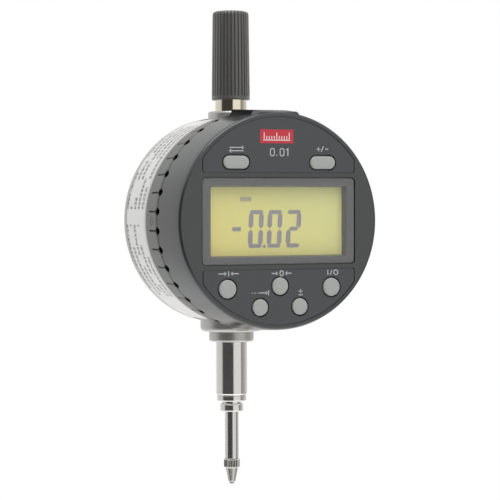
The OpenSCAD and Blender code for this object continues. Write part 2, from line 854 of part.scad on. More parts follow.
module panel(upper) {
    slab(face - panel_t, face) difference() {
        if (upper)
            upper_outline();
        else
            lower_outline();
        for (k = KEYS)
            translate([k[3], k[4]]) key_outline(k[1], k[2], key_gap);
    }
}

module upper_panel() {
    color("slategray") at_head() panel(true);
}

module lower_panel() {
    color("slategray") at_head() panel(false);
}

module display_window() {
    color("gainsboro", 0.35) at_head() slab(face - 0.05 - lens_t + 0.1, face - 0.05)
        rounded(window_w - 0.2, window_h - 0.2, window_r - 0.1);
}

module window_gasket() {
    color("black") at_head() slab(frame_front, face - lens_t + 0.05) difference() {
        rounded(window_w - 0.2, window_h - 0.2, window_r - 0.1);
        rounded(window_w - 2*lens_lip + 0.4, window_h - 2*lens_lip + 0.4, window_r - 0.2);
    }
}

module lcd_frame() {
    color("gray") at_head() slab(frame_front - frame_t, frame_front) difference() {
        rounded(window_w - 2*lens_lip - 0.2, window_h - 2*lens_lip - 0.2, window_r - 0.1);
        rounded(view_w, view_h, 0.4);
    }
}

module lcd_glass() {
    color("darkkhaki") at_head() slab(lcd_front - lcd_t, lcd_front)
        square([view_w + 2.6, view_h + 2.4], center = true);
}

// Strokes of a seven-stroke figure, counted clockwise from the top with the middle last
function leaned(p) = [p[0] + p[1]*tan(digit_slant), p[1]];
function across(z, w) = let(s = stroke/2)
    [[-w, z], [-w + s, z + s], [w - s, z + s], [w, z], [w - s, z - s], [-w + s, z - s]];
function upright_stroke(x, z0, z1) = let(s = upright_w/2)
    [[x, z0], [x + s, z0 + s], [x + s, z1 - s], [x, z1], [x - s, z1 - s], [x - s, z0 + s]];
digit_side = digit_w/2 - upright_w/2;
digit_reach = digit_w/2 - 0.15;
digit_end = digit_h/2 - stroke/2;
STROKES = [
    across(digit_end, digit_reach),
    upright_stroke(digit_side, 0.15, digit_end - 0.15),
    upright_stroke(digit_side, -digit_end + 0.15, -0.15),
    across(-digit_end, digit_reach),
    upright_stroke(-digit_side, -digit_end + 0.15, -0.15),
    upright_stroke(-digit_side, 0.15, digit_end - 0.15),
    across(0, digit_reach - 0.7),
];

module lcd_digits() {
    color("dimgray") at_head() slab(lcd_front, lcd_front + digit_t) {
        for (i = [0:2], s = DIGIT_STROKES[i])
            translate([DIGIT_X[i], digit_z]) polygon([for (p = STROKES[s]) leaned(p)]);
        translate([DIGIT_X[0] - 6.1, digit_z]) square([2.7, 1.2], center = true);
        translate([(DIGIT_X[0] + DIGIT_X[1])/2 - 0.3, digit_z - digit_h/2 + 0.45])
            square([0.8, 0.9], center = true);
    }
}

module backlight() {
    color("white") at_head() slab(board_front + 0.05, board_front + light_t)
        square([view_w + 2, view_h - 1], center = true);
}

module zebra_strips() {
    color("pink") at_head() for (s = [-1, 1])
        slab(board_front, lcd_front - lcd_t) translate([0, s*(view_h/2 + 0.35)])
            square([view_w, 1], center = true);
}

module display_board() {
    color("seagreen") at_head() difference() {
        slab(board_back, board_front) circle(head_bore_r - 0.4);
        on_circle(post_circle, POST_ANGLES) slab(board_back - 1, board_front + 1)
            circle(post_r + 0.3, $fn = 32);
        for (s = [-1, 1])
            translate([s*(panel_half_w + 1.6), 0, 0]) slab(board_back - 1, board_front + 1)
                circle(screw_r + 0.1, $fn = 32);
        slab(board_back - 1, board_front + 1) translate([0, port_block_foot + 4])
            square([port_block_w + 0.4, 8.4], center = true);
    }
}

module board_screws() {
    color("lightgray") at_head() for (s = [-1, 1])
        translate([s*(panel_half_w + 1.6), 0, 0]) {
            slab(board_front, board_front + screw_head_h) circle(1.2, $fn = 32);
            slab(board_back, board_front) circle(screw_r, $fn = 32);
        }
}

module key_mat() {
    pad_top = wall_back - 0.15 - key_flange_t - key_foot_len - key_travel - 0.2;
    color("lightgray") at_head() {
        slab(board_front, board_front + mat_t) difference() {
            intersection() {
                circle(head_bore_r - 1);
                union() {
                    translate([-19, window_h/2 + 1.6]) square([38, 7]);
                    translate([-19.5, -window_h/2 - 1.6 - 14.5]) square([39, 14.5]);
                }
            }
            for (a = POST_ANGLES)
                translate([post_circle*cos(a), post_circle*sin(a)]) circle(post_r + 0.5, $fn = 32);
        }
        for (k = KEYS)
            translate([k[3], 0, k[4]]) slab(board_front + mat_t, pad_top) circle(1.6, $fn = 32);
    }
}

// Flat cable wound in a loose flat spiral, so that the head can turn
module display_flex() {
    turns = 2.75;
    steps = 66;
    t = 0.2;
    first_r = hub_bore_r - 1.2;
    pitch = 2;
    function arm(i, grow) = let(a = 180 - 360*turns*i/steps, r = first_r + pitch*turns*i/steps + grow)
        [r*cos(a), r*sin(a)];
    from = hub_plate_front + 0.6;
    color("orange") at_head() {
        slab(from, from + 3) polygon(concat([for (i = [0:steps]) arm(i, 0)],
            [for (i = [steps:-1:0]) arm(i, t)]));
        translate([arm(steps, 0)[0] - 1.5, -board_back, arm(steps, 0)[1] - t])
            cube([3, board_back - from, t]);
    }
}

module battery_contacts() {
    color("gold") at_head() for (s = [-1, 1])
        translate([cell_x, 0, s*5]) slab(tray_front + 0.15, board_back) square([8, 2.5], center = true);
}

module port_contacts() {
    block_h = 1.4;
    pitch = 1.8;
    color("gold") at_head() {
        translate([-port_block_w/2, -port_mid - 1.3, port_block_foot])
            cube([port_block_w, 2.6, block_h]);
        for (i = [-2:2])
            translate([i*pitch - 0.35, -port_mid - 0.6, port_block_foot + block_h])
                cube([0.7, 1.2, 0.7]);
    }
}

module battery_drawer() {
    color("dimgray") at_head() intersection() {
        difference() {
            translate([drawer_x, -tray_front, -tray_half])
                cube([seam_r + 2 - drawer_x, tray_t, 2*tray_half]);
            translate([cell_x, 0, 0]) slab(tray_back + tray_floor, tray_front + 1)
                circle(cell_r + 0.1);
            translate([drawer_x - 1, -tray_front - 1, -tray_half - 1])
                cube([cell_x - drawer_x - 4, tray_t - tray_floor + 1, tray_half*2 + 2]);
        }
        turned([[0, tray_back - 1], [seam_r, tray_back - 1], [seam_r, seam], [face_r, face],
            [0, face]]);
    }
}

module coin_cell() {
    color("lightgray") at_head() translate([cell_x, 0, 0])
        turned([[0, tray_back + tray_floor], [cell_r - 1, tray_back + tray_floor],
            [cell_r - 0.7, tray_back + tray_floor + 0.4], [cell_r, tray_back + tray_floor + 0.6],
            [cell_r, tray_back + tray_floor + cell_t], [0, tray_back + tray_floor + cell_t]]);
}

module port_cover() {
    tongue_w = port_slot_w - 2*gap;
    tongue_d = port_slot_d - 2*gap;
    color("black") at_head() {
        difference() {
            port_bulge(0, port_back, port_front);
            slab(port_back - 1, port_front + 1) translate([0, port_floor])
                square([4*port_seam_foot, 2*gap], center = true);
        }
        translate([0, 0, port_floor + gap]) slab(port_mid - tongue_d/2, port_mid + tongue_d/2)
            translate([0, -0.2]) square([tongue_w, 0.6], center = true);
    }
}

// A key: its cap, a flange behind the wall that keeps it in, and a foot over the mat
module one_key(k) {
    flange_front = wall_back - 0.15;
    foot_front = flange_front - key_flange_t;
    color("darkgray") at_head() translate([k[3], 0, k[4]]) {
        slab(flange_front, face + key_proud - 0.25) key_outline(k[1], k[2]);
        slab(face + key_proud - 0.25, face + key_proud) key_outline(k[1], k[2], -0.25);
        slab(foot_front, flange_front) key_outline(k[1], k[2], key_flange);
        slab(foot_front - key_foot_len, foot_front) circle(key_foot_r, $fn = 32);
    }
}

module key_units() { one_key(KEYS[0]); }
module key_sign() { one_key(KEYS[1]); }
module key_mode() { one_key(KEYS[2]); }
module key_zero() { one_key(KEYS[3]); }
module key_power() { one_key(KEYS[4]); }
module key_preset() { one_key(KEYS[5]); }
module key_limits() { one_key(KEYS[6]); }

rear_housing();
label_band();
back_cover();
back_gasket();
back_screws();
stem();
lower_bush();
stem_seal();
seal_nut();
upper_bush();
upper_sleeve();
top_cap();
cap_o_ring();
return_spring();
sensor_board();
sensor_screws();
guide_rail();
swivel_seal();
stop_pin();
sensor_flex();
spindle();
contact_point();
contact_ball();
scale_carrier();
encoder_scale();
carrier_screw();
guide_pin();
stop_collar();
spring_seat();
display_housing();
grip_ring();
swivel_hub();
swivel_clip();
head_screws();
upper_panel();
lower_panel();
display_window();
window_gasket();
lcd_frame();
lcd_glass();
lcd_digits();
backlight();
zebra_strips();
display_board();
board_screws();
key_mat();
display_flex();
battery_contacts();
port_contacts();
battery_drawer();
coin_cell();
port_cover();
key_units();
key_sign();
key_mode();
key_zero();
key_power();
key_preset();
key_limits();
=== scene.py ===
import math

import bmesh
import bpy
import numpy as np
from mathutils import Matrix, Vector


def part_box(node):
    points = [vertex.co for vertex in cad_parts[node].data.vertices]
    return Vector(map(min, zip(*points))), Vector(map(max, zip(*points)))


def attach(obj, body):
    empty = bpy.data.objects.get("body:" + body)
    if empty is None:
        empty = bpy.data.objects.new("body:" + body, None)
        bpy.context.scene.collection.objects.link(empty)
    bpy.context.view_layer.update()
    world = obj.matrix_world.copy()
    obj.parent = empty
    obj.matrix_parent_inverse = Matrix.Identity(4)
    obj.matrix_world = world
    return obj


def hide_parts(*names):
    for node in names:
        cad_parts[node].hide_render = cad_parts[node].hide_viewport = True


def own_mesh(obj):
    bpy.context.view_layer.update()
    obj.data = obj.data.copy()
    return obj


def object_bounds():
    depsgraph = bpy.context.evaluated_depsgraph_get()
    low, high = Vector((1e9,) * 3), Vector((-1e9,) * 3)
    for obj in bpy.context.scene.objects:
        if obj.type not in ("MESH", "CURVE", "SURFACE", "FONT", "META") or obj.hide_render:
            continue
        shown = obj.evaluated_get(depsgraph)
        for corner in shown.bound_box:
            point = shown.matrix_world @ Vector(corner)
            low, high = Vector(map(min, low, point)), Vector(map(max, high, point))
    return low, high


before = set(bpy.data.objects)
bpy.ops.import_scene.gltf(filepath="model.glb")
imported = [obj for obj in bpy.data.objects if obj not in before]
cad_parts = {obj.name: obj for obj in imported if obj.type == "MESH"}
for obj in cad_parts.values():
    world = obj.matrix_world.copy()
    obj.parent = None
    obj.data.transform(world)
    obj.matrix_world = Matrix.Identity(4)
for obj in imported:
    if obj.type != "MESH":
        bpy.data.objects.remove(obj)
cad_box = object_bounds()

# ---- Camera, light and floor ----
# A white studio with a long lens a little to the left of the face. White light comes from all
# round. A panel stands behind on each side and one above, and dark flags draw the edges of the
# metal.

ring_low, ring_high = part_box("grip_ring")
centre_z = (ring_low.z + ring_high.z)*500
azimuth, elevation, roll = np.radians((-24.42, 1.406, -0.147))
back = Vector((math.sin(azimuth)*math.cos(elevation), -math.cos(azimuth)*math.cos(elevation),
               math.sin(elevation)))
level = back.cross(Vector((0, 0, -1))).normalized()
right = level*math.cos(roll) + back.cross(level)*math.sin(roll)
up = back.cross(right)
camera_distance = 0.59293
aim = Vector((0, 0, centre_z/1000)) + right*0.00576 - up*0.00913
camera = bpy.data.objects.new("camera", bpy.data.cameras.new("long_lens"))
camera.data.sensor_width = 36
camera.data.lens = 139.65
camera.data.clip_start = 0.01
camera.data.clip_end = 20
camera.matrix_world = Matrix((right, up, back)).transposed().to_4x4()
camera.location = aim + back*camera_distance
bpy.context.scene.collection.objects.link(camera)
bpy.context.scene.camera = camera
bpy.context.scene.view_settings.view_transform = "Standard"


def paint(code):
    """A colour written as six sRGB hex digits, as linear red, green, blue and a full alpha."""
    part = np.array([int(code[i:i + 2], 16) for i in (0, 2, 4)])/255
    linear = np.where(part <= 0.04045, part/12.92, ((part + 0.055)/1.055)**2.4)
    return (*linear, 1.0)


def add(tree, kind, inputs=None, **settings):
    """Adds one node, gives it its settings, then fills its inputs with values or links."""
    node = tree.nodes.new("ShaderNode" + kind)
    for key, value in settings.items():
        setattr(node, key, value)
    for key, value in (inputs or {}).items():
        if isinstance(value, bpy.types.NodeSocket):
            tree.links.new(value, node.inputs[key])
        else:
            node.inputs[key].default_value = value
    return node


def stops(ramp, *marks):
    """Sets a ramp's stops from pairs of place and linear colour."""
    while len(ramp.elements) < len(marks):
        ramp.elements.new(1)
    for element, (place, colour) in zip(ramp.elements, marks):
        element.position = place
    for element, (place, colour) in zip(ramp.elements, marks):
        element.color = colour


# Light by compass bearing, in degrees from the front towards the left, near the horizon only.
studio = bpy.data.worlds.new("white_studio")
studio.use_nodes = True
bpy.context.scene.world = studio
tree = studio.node_tree
tree.nodes.clear()
heading = add(tree, "TexCoord").outputs["Generated"]
turned_round = add(tree, "VectorMath", {0: heading, 1: (-1, -1, 1)}, operation="MULTIPLY")
axes = add(tree, "SeparateXYZ", {0: turned_round.outputs[0]})
bearing = add(tree, "Math", {0: axes.outputs[0], 1: axes.outputs[1]}, operation="ARCTAN2")
share = add(tree, "MapRange", {0: bearing.outputs[0], 1: -math.pi, 2: math.pi})
band = add(tree, "ValToRGB", {0: share.outputs[0]})
FLAGS = [(-180, -118, (0.80, 0.78, 0.76)), (-101, -96, (0.68, 0.66, 0.64)),
         (-84, -72, (0.48, 0.46, 0.45)), (-65, -55, (0.32, 0.31, 0.30)),
         (-46, 6, (0.97, 0.96, 0.94)), (12, 91, (0.055, 0.052, 0.05)),
         (97, 106, (0.68, 0.67, 0.66)), (112, 156, (0.80, 0.79, 0.78)),
         (163, 180, (1.0, 1.0, 1.0))]
stops(band.color_ramp, *[((edge + 180)/360, (*tone, 1.0)) for start, end, tone in FLAGS
                         for edge in (start, end)])
below = add(tree, "Math", {0: axes.outputs[2], 1: -0.6}, operation="MULTIPLY")
height = add(tree, "Math", {0: axes.outputs[2], 1: below.outputs[0]}, operation="MAXIMUM")
low = add(tree, "MapRange", {0: height.outputs[0], 1: 0.34, 2: 0.48, 3: 1.0, 4: 0.0})
walls = add(tree, "MixRGB", {0: low.outputs[0], 1: (1.0, 1.0, 1.0, 1.0), 2: band.outputs[0]})
seen = add(tree, "LightPath").outputs["Is Camera Ray"]
shown = add(tree, "MixRGB", {0: seen, 1: walls.outputs[0], 2: (1.0, 1.0, 1.0, 1.0)})
glow = add(tree, "Background", {"Color": shown.outputs[0], "Strength": 1.0})
add(tree, "OutputWorld", {0: glow.outputs[0]})


def softbox(name, bearing, height, distance, width, tall, watts, glossy=False):
    """A flat lamp that faces the head from a compass bearing, counted from the front towards
    the left, and an angle above the horizon."""
    lamp = bpy.data.lights.new(name, "AREA")
    lamp.shape = "RECTANGLE"
    lamp.size, lamp.size_y = width, tall
    lamp.energy = watts
    holder = bpy.data.objects.new(name, lamp)
    b, h = np.radians((bearing, height))
    away = Vector((-math.sin(b)*math.cos(h), -math.cos(b)*math.cos(h), math.sin(h)))
    holder.location = Vector((0, 0, centre_z/1000)) + away*distance
    holder.rotation_mode = "QUATERNION"
    holder.rotation_quaternion = away.to_track_quat("Z", "Y")
    holder.visible_camera = False
    holder.visible_glossy = glossy
    bpy.context.scene.collection.objects.link(holder)


softbox("side_panel", 138, -10, 0.9, 0.6, 1.3, 4)
softbox("right_panel", -118, 10, 0.9, 0.6, 1.3, 25)
softbox("top_panel", 20, 62, 1.0, 0.7, 0.5, 4.5, True)


def skin(grid, wrap=(True, True), caps=False):
    """Corners and faces of a surface whose points form a grid. A wrapped way joins its last
    line to its first. Caps close the first and last column with one flat face each."""
    n, m = grid.shape[:2]
    index = np.arange(n*m).reshape(n, m)
    i = np.arange(n if wrap[0] else n - 1)[:, None]
    j = np.arange(m if wrap[1] else m - 1)[None, :]
    k, l = (i + 1) % n, (j + 1) % m
    faces = np.stack((index[i, j], index[k, j], index[k, l], index[i, l]), -1).reshape(-1, 4)
    ends = [index[::-1, 0].tolist(), index[:, -1].tolist()] if caps else []
    return grid.reshape(-1, 3), faces.tolist() + ends


def piece(name, parts, finish, body, nodes=(), crease=32):
    """Makes one object from its surfaces, given in millimetres: merges doubles, turns faces
    outwards, shades smooth up to the crease angle, and fixes it to its body."""
    mesh = bpy.data.meshes.new(name)
    base = np.cumsum([0] + [len(corners) for corners, faces in parts])
    mesh.from_pydata(np.concatenate([corners for corners, faces in parts])/1000, [],
                     [[c + start for c in face] for start, (corners, faces) in zip(base, parts)
                      for face in faces])
    work = bmesh.new()
    work.from_mesh(mesh)
    bmesh.ops.remove_doubles(work, verts=work.verts, dist=1e-6)
    bmesh.ops.dissolve_degenerate(work, edges=work.edges, dist=1e-7)
    bmesh.ops.recalc_face_normals(work, faces=work.faces)
    work.to_mesh(mesh)
    work.free()
    shade(mesh, crease)
    thing = bpy.data.objects.new(name, mesh)
    bpy.context.scene.collection.objects.link(thing)
    if finish:
        mesh.materials.append(finish)
        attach(thing, body)
    if nodes:
        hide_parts(*nodes)
    return thing


def shade(mesh, crease):
    """Smooth shading, with a sharp edge wherever two faces meet at more than the angle."""
    mesh.polygons.foreach_set("use_smooth", np.ones(len(mesh.polygons), bool))
    mesh.set_sharp_from_angle(angle=math.radians(crease))
    mesh.update()


def change(thing, tool, operation="DIFFERENCE", crease=32):
    """Cuts one closed piece by another, or joins them, then throws the tool away."""
    step = thing.modifiers.new(operation, "BOOLEAN")
    step.operation = operation
    step.solver = "EXACT"
    step.object = tool
    result = bpy.data.meshes.new_from_object(
        thing.evaluated_get(bpy.context.evaluated_depsgraph_get()))
    thing.modifiers.clear()
    thing.data = result
    bpy.data.objects.remove(tool)
    shade(result, crease)


def rounded(corners, reach, steps=5):
    """A closed line with each corner P turned into a curve between A and B, the points that
    far before and after it: (1-t)^2 A + 2t(1-t) P + t^2 B. A second point close outside each
    end keeps the shading of the straight stretch even."""
    p = np.array(corners, float)
    reach = np.broadcast_to(np.array(reach, float), len(p))[:, None]
    before, after = np.roll(p, 1, 0) - p, np.roll(p, -1, 0) - p
    length_b = np.linalg.norm(before, axis=1)[:, None]
    length_a = np.linalg.norm(after, axis=1)[:, None]
    from_b = np.minimum(reach, 0.42*length_b)*before/length_b
    from_a = np.minimum(reach, 0.42*length_a)*after/length_a
    t = np.linspace(0, 1, steps + 1)[:, None, None]
    curve = p + (1 - t)**2*from_b + t*t*from_a
    return np.concatenate(([p + 1.12*from_b], curve, [p + 1.12*from_a])
                          ).transpose(1, 0, 2).reshape(-1, 2)


def upright(radius, angle, height):
    """A point at a radius from the spindle's axis, an angle round it and a height."""
    return np.stack(np.broadcast_arrays(
        radius*np.cos(angle), radius*np.sin(angle), height), -1)


def facing(radius, angle, depth):
    """A point at a radius from the head's centre line, an angle from 12 o'clock towards
    3 o'clock and a depth in front of the spindle's axis."""
    return np.stack(np.broadcast_arrays(
        radius*np.sin(angle), -depth, centre_z + radius*np.cos(angle)), -1)


def turned(profile, place=upright, sides=128):
    """A closed line of radius and height (or depth) carried once round an axis."""
    angle = np.linspace(0, 2*np.pi, sides, endpoint=False)[:, None]
    profile = np.array(profile, float)
    return skin(place(profile[None, :, 0], angle, profile[None, :, 1]))


def shrunk(outline, by):
    """A closed outline moved inwards: each corner goes along the mean of its two edge normals,
    further the sharper it is. A negative distance moves it outwards."""
    along = np.roll(outline, -1, 0) - outline
    along = along/np.linalg.norm(along, axis=1)[:, None]
    normal = np.stack((-along[:, 1], along[:, 0]), 1)
    mean = normal + np.roll(normal, 1, 0)
    area = np.sum(outline[:, 0]*np.roll(outline[:, 1], -1) - np.roll(outline[:, 0], -1)*outline[:, 1])
    return outline + np.sign(area)*2*by*mean/np.sum(mean*mean, axis=1)[:, None]


def layer(outline, depth, axis="y"):
    """An outline as seen from the front, placed at a depth; or, on the x axis, one drawn as
    distance behind the spindle's axis and height, placed at an x."""
    a, b = outline[:, 0], outline[:, 1] + centre_z
    flat = np.full(len(outline), float(depth))
    return np.stack((a, -flat, b) if axis == "y" else (flat, a, b), -1)


def slab(outline, back, front, edge=0.0, both=False):
    """An outline carried from one depth to another, with a round edge at the front."""
    outline = np.array(outline, float)
    arc = np.linspace(0, np.pi/2, 5) if edge else np.zeros(1)
    rim = [layer(shrunk(outline, edge*(1 - np.cos(a))), front - edge + edge*np.sin(a)) for a in arc]
    foot = [layer(shrunk(outline, edge*(1 - np.cos(a))), back + edge - edge*np.sin(a))
            for a in arc[::-1]] if both else [layer(outline, back)]
    return skin(np.stack(foot + rim, 1), (True, False), caps=True)


def box_outline(width, height, radius, x=0.0, z=0.0, steps=8):
    """A rectangle with round corners, anticlockwise: a quarter circle in each corner."""
    quarter = np.linspace(0, np.pi/2, steps + 1)
    angle = (np.arange(4)[:, None]*np.pi/2 + quarter).ravel()
    side = np.repeat([[1, 1], [-1, 1], [-1, -1], [1, -1]], steps + 1, axis=0)
    core = side*(width/2 - radius, height/2 - radius)
    return core + radius*np.stack((np.cos(angle), np.sin(angle)), 1) + (x, z)


# ---- Rear case ----
# A light grey aluminium casting, blasted and clear lacquered. It is a short drum with a boss
# and a collar under it for the stem, and a boss on top for the sleeve.

case_low, case_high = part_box("rear_housing")
case_front, case_back = -case_low.y*1000, -case_high.y*1000
case_r = (case_high.x - case_low.x)*500
collar_foot = case_low.z*1000
boss_top = case_high.z*1000
shell_r = case_r - 0.25
bore_r = shell_r - 2.7


def blasted(name, colour, roughness=0.42, grit=0.22, relief=0.012, metal=0.75):
    """Blasted casting: small even pits break the highlight up, and broad soft clouds of tone
    show where the lacquer pools."""
    material = bpy.data.materials.new(name)
    material.use_nodes = True
    tree = material.node_tree
    shader = tree.nodes["Principled BSDF"]
    shader.inputs["Metallic"].default_value = metal
    place = add(tree, "TexCoord").outputs["Object"]
    pits = add(tree, "TexNoise", {"Vector": place, "Scale": 1000/grit, "Detail": 3.0})
    cloud = add(tree, "TexNoise", {"Vector": place, "Scale": 120.0, "Detail": 2.0})
    low = tuple(0.86*c for c in paint(colour)[:3]) + (1.0,)
    tone = add(tree, "MixRGB", {0: cloud.outputs[0], 1: low, 2: paint(colour)})
    tree.links.new(tone.outputs[0], shader.inputs["Base Color"])
    rough = add(tree, "MapRange", {0: pits.outputs[0], 3: roughness - 0.06, 4: roughness + 0.08})
    tree.links.new(rough.outputs[0], shader.inputs["Roughness"])
    bump = add(tree, "Bump", {"Height": pits.outputs[0], "Strength": 0.5,
                              "Distance": relief/1000})
    tree.links.new(bump.outputs[0], shader.inputs["Normal"])
    return material


casting = blasted("blasted_aluminium_casting", "bebebb", 0.36)

drum = rounded([(bore_r, case_back), (case_r, case_back), (case_r, case_back + 0.6),
                (shell_r, case_back + 0.6), (shell_r, case_front - 0.9),
                (case_r, case_front - 0.9), (case_r, case_front), (9.03, case_front),
                (9.03, case_front - 2), (bore_r, case_front - 2)],
               [0.1, 0.12, 0.1, 0.02, 0.02, 0.1, 0.25, 0.2, 0.1, 0.5])
boss_foot = collar_foot + 3.15
lower_boss = rounded([(4.7, boss_foot), (9.5, boss_foot), (9.5, boss_foot + 6.8),
                      (4.7, boss_foot + 6.8)], [0.05, 1.5, 0.05, 0.05], 8)
collar = rounded([(4.7, collar_foot), (6.825, collar_foot), (6.825, boss_foot + 0.5),
                  (4.7, boss_foot + 0.5)], [0.05, 0.9, 0.05, 0.05], 8)
upper_boss = rounded([(4.86, boss_top - 7), (6.95, boss_top - 7), (6.95, boss_top),
                      (4.86, boss_top)], [0.05, 0.05, 0.75, 0.15], 6)
lower_surface, lower_faces = turned(lower_boss)
lower_surface[:, 1] = np.clip(lower_surface[:, 1], -case_front, -case_back)
pillar = np.array([(0, case_back), (2.2, case_back), (2.2, case_front - 2), (0, case_front - 2)])
pillars = []
for quarter in (45, 135, 225, 315):
    corners, faces = turned(pillar, facing, 32)
    pillars.append((corners + facing(bore_r - 1.2, math.radians(quarter), 0)
                    - (0, 0, centre_z), faces))
piece("cast_case", [turned(drum, facing, 256), (lower_surface, lower_faces), turned(collar),
                    turned(upper_boss)] + pillars, casting, "case", ["rear_housing"])


# ---- Label band ----
# A satin white printed film stuck round the drum in two lengths, which leave the bosses clear.
# Its small grey print is rows of plain strokes.

def arc_band(profile, first, last, steps):
    """A closed line of radius and depth carried round the head's centre line from one angle
    to another, in degrees from 12 o'clock towards 3 o'clock."""
    angle = np.radians(np.linspace(first, last, steps))[::-1, None]
    profile = np.array(profile, float)
    ring = facing(profile[None, :, 0], angle, profile[None, :, 1])
    return skin(ring.transpose(1, 0, 2), (True, False), caps=True)


film = bpy.data.materials.new("printed_label_film")
film.use_nodes = True
tree = film.node_tree
shader = tree.nodes["Principled BSDF"]
shader.inputs["Roughness"].default_value = 0.38
centred = add(tree, "Mapping", {0: add(tree, "TexCoord").outputs["Object"],
                                1: (0, 0, -centre_z/1000)})
axes = add(tree, "SeparateXYZ", {0: centred.outputs[0]})
angle = add(tree, "Math", {0: axes.outputs[0], 1: axes.outputs[2]}, operation="ARCTAN2")
along = add(tree, "Math", {0: angle.outputs[0], 1: shell_r}, operation="MULTIPLY")
across = add(tree, "Math", {0: axes.outputs[1], 1: 1000.0}, operation="MULTIPLY")
# Rows 3.1 mm apart with marks 1.7 mm high and 1.1 mm wide, at a pitch of 1.35 mm; the marks are
# short crossing strokes 0.3 mm wide, and the words about 7 mm long.
row = add(tree, "Math", {0: across.outputs[0], 1: 0.4}, operation="ADD")
in_row = add(tree, "Math", {0: row.outputs[0], 1: 3.1}, operation="FLOORED_MODULO")
in_row = add(tree, "Math", {0: in_row.outputs[0], 1: 1.7}, operation="LESS_THAN")
line = add(tree, "Math", {0: row.outputs[0], 1: 3.1}, operation="DIVIDE")
line = add(tree, "Math", {0: line.outputs[0]}, operation="FLOOR")
line = add(tree, "Math", {0: line.outputs[0], 1: 37.0}, operation="MULTIPLY")
mark = add(tree, "Math", {0: along.outputs[0], 1: 1.35}, operation="FLOORED_MODULO")
mark = add(tree, "Math", {0: mark.outputs[0], 1: 1.1}, operation="LESS_THAN")
stroke = add(tree, "CombineXYZ", {0: along.outputs[0], 1: across.outputs[0]})
stroke = add(tree, "TexVoronoi", {"Vector": stroke.outputs[0], "Scale": 1.25},
             feature="DISTANCE_TO_EDGE")
stroke = add(tree, "Math", {0: stroke.outputs[0], 1: 0.19}, operation="LESS_THAN")
words = add(tree, "CombineXYZ", {0: along.outputs[0], 1: line.outputs[0]})
words = add(tree, "TexNoise", {"Vector": words.outputs[0], "Scale": 0.14, "Detail": 0.0})
words = add(tree, "Math", {0: words.outputs[0], 1: 0.43}, operation="GREATER_THAN")
# Two printed blocks on each side, which leave the middle and the ends of each film clear.
bare = add(tree, "Math", {0: angle.outputs[0]}, operation="ABSOLUTE")
bare = add(tree, "MapRange", {0: bare.outputs[0], 1: 0.0, 2: math.pi})
block = add(tree, "ValToRGB", {0: bare.outputs[0]})
block.color_ramp.interpolation = "CONSTANT"
stops(block.color_ramp, *[(degrees/180, (on, on, on, 1.0)) for degrees, on in (
    (0, 0), (24, 1), (83, 0), (92, 1), (136, 0))])
ink = mark
for mask in (in_row, stroke, words, block):
    ink = add(tree, "Math", {0: ink.outputs[0], 1: mask.outputs[0]}, operation="MULTIPLY")
ink = add(tree, "Math", {0: ink.outputs[0], 1: 0.8}, operation="MULTIPLY")
# A fine border line 0.6 mm inside the front edge.
border = add(tree, "Math", {0: across.outputs[0], 1: 1.57 - case_front}, operation="SUBTRACT")
border = add(tree, "Math", {0: border.outputs[0]}, operation="ABSOLUTE")
border = add(tree, "Math", {0: border.outputs[0], 1: 0.12}, operation="LESS_THAN")
border = add(tree, "Math", {0: border.outputs[0], 1: 0.4}, operation="MULTIPLY")
ink = add(tree, "Math", {0: ink.outputs[0], 1: border.outputs[0]}, operation="MAXIMUM")
tone = add(tree, "MixRGB", {0: ink.outputs[0], 1: paint("cdcdcc"), 2: paint("3a3a3c")})
tree.links.new(tone.outputs[0], shader.inputs["Base Color"])

label_back, label_front = case_back + 0.66, case_front - 0.97
label_profile = rounded([(shell_r - 0.02, label_back), (shell_r + 0.2, label_back),
                         (shell_r + 0.2, label_front), (shell_r - 0.02, label_front)],
                        [0.02, 0.06, 0.06, 0.02], 2)
top_gap = math.degrees(math.asin(8/shell_r))
foot_gap = math.degrees(math.asin(10/shell_r))
piece("label_film", [arc_band(label_profile, top_gap, 180 - foot_gap, 160),
                     arc_band(label_profile, 180 + foot_gap, 360 - top_gap, 160)],
      film, "case", ["label_band"])


# ---- Back cover ----
# The same casting as the case, with a lug in its middle to bolt the tool to a stand. Four
# screws hold it on a rubber gasket.

cover_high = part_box("back_cover")[1]
back_face = -cover_high.y*1000 + 14.2
plate = rounded([(0, back_face), (case_r, back_face), (case_r, case_back), (0, case_back)],
                [0, 1.3, 0.05, 0], 6)
plate[[0, 1, -1, -2], 0] = 0
cover = piece("back_cover_plate", [turned(plate, facing, 192)], casting, "case",
              ["back_cover"])
hole_y, hole_r, lug_r, lug_w = cover_high.y*1000 - 7, 3.175, 7.0, 6.0
sweep = np.linspace(-np.pi/2, np.pi/2, 33)
foot_y = case_back*-1 + 0.7
lug_outline = np.concatenate([
    np.stack((hole_y + lug_r*np.cos(sweep), lug_r*np.sin(sweep)), 1),
    np.stack((np.linspace(hole_y, foot_y, 16)[1:], np.full(15, lug_r)), 1),
    np.stack((np.full(15, foot_y), np.linspace(lug_r, -lug_r, 17)[1:-1]), 1),
    np.stack((np.linspace(foot_y, hole_y, 16)[:-1], np.full(15, -lug_r)), 1)])
bearing = np.arctan2(lug_outline[:, 1], lug_outline[:, 0] - hole_y)
hole = np.stack((hole_y + hole_r*np.cos(bearing), hole_r*np.sin(bearing)), 1)
arc = np.linspace(0, np.pi/2, 5)
side = [layer(shrunk(lug_outline, 0.6*(1 - np.cos(a))), lug_w/2 - 0.6 + 0.6*np.sin(a), "x")
        for a in arc]
mouth = [layer(shrunk(hole, -0.35*(1 - np.sin(a))), lug_w/2 - 0.35 + 0.35*np.cos(a), "x")
         for a in arc]
half = side + mouth
other = [loop*(-1, 1, 1) for loop in half[::-1]]
piece("back_lug", [skin(np.stack(half + other, 1))], casting, "case")
bores = []
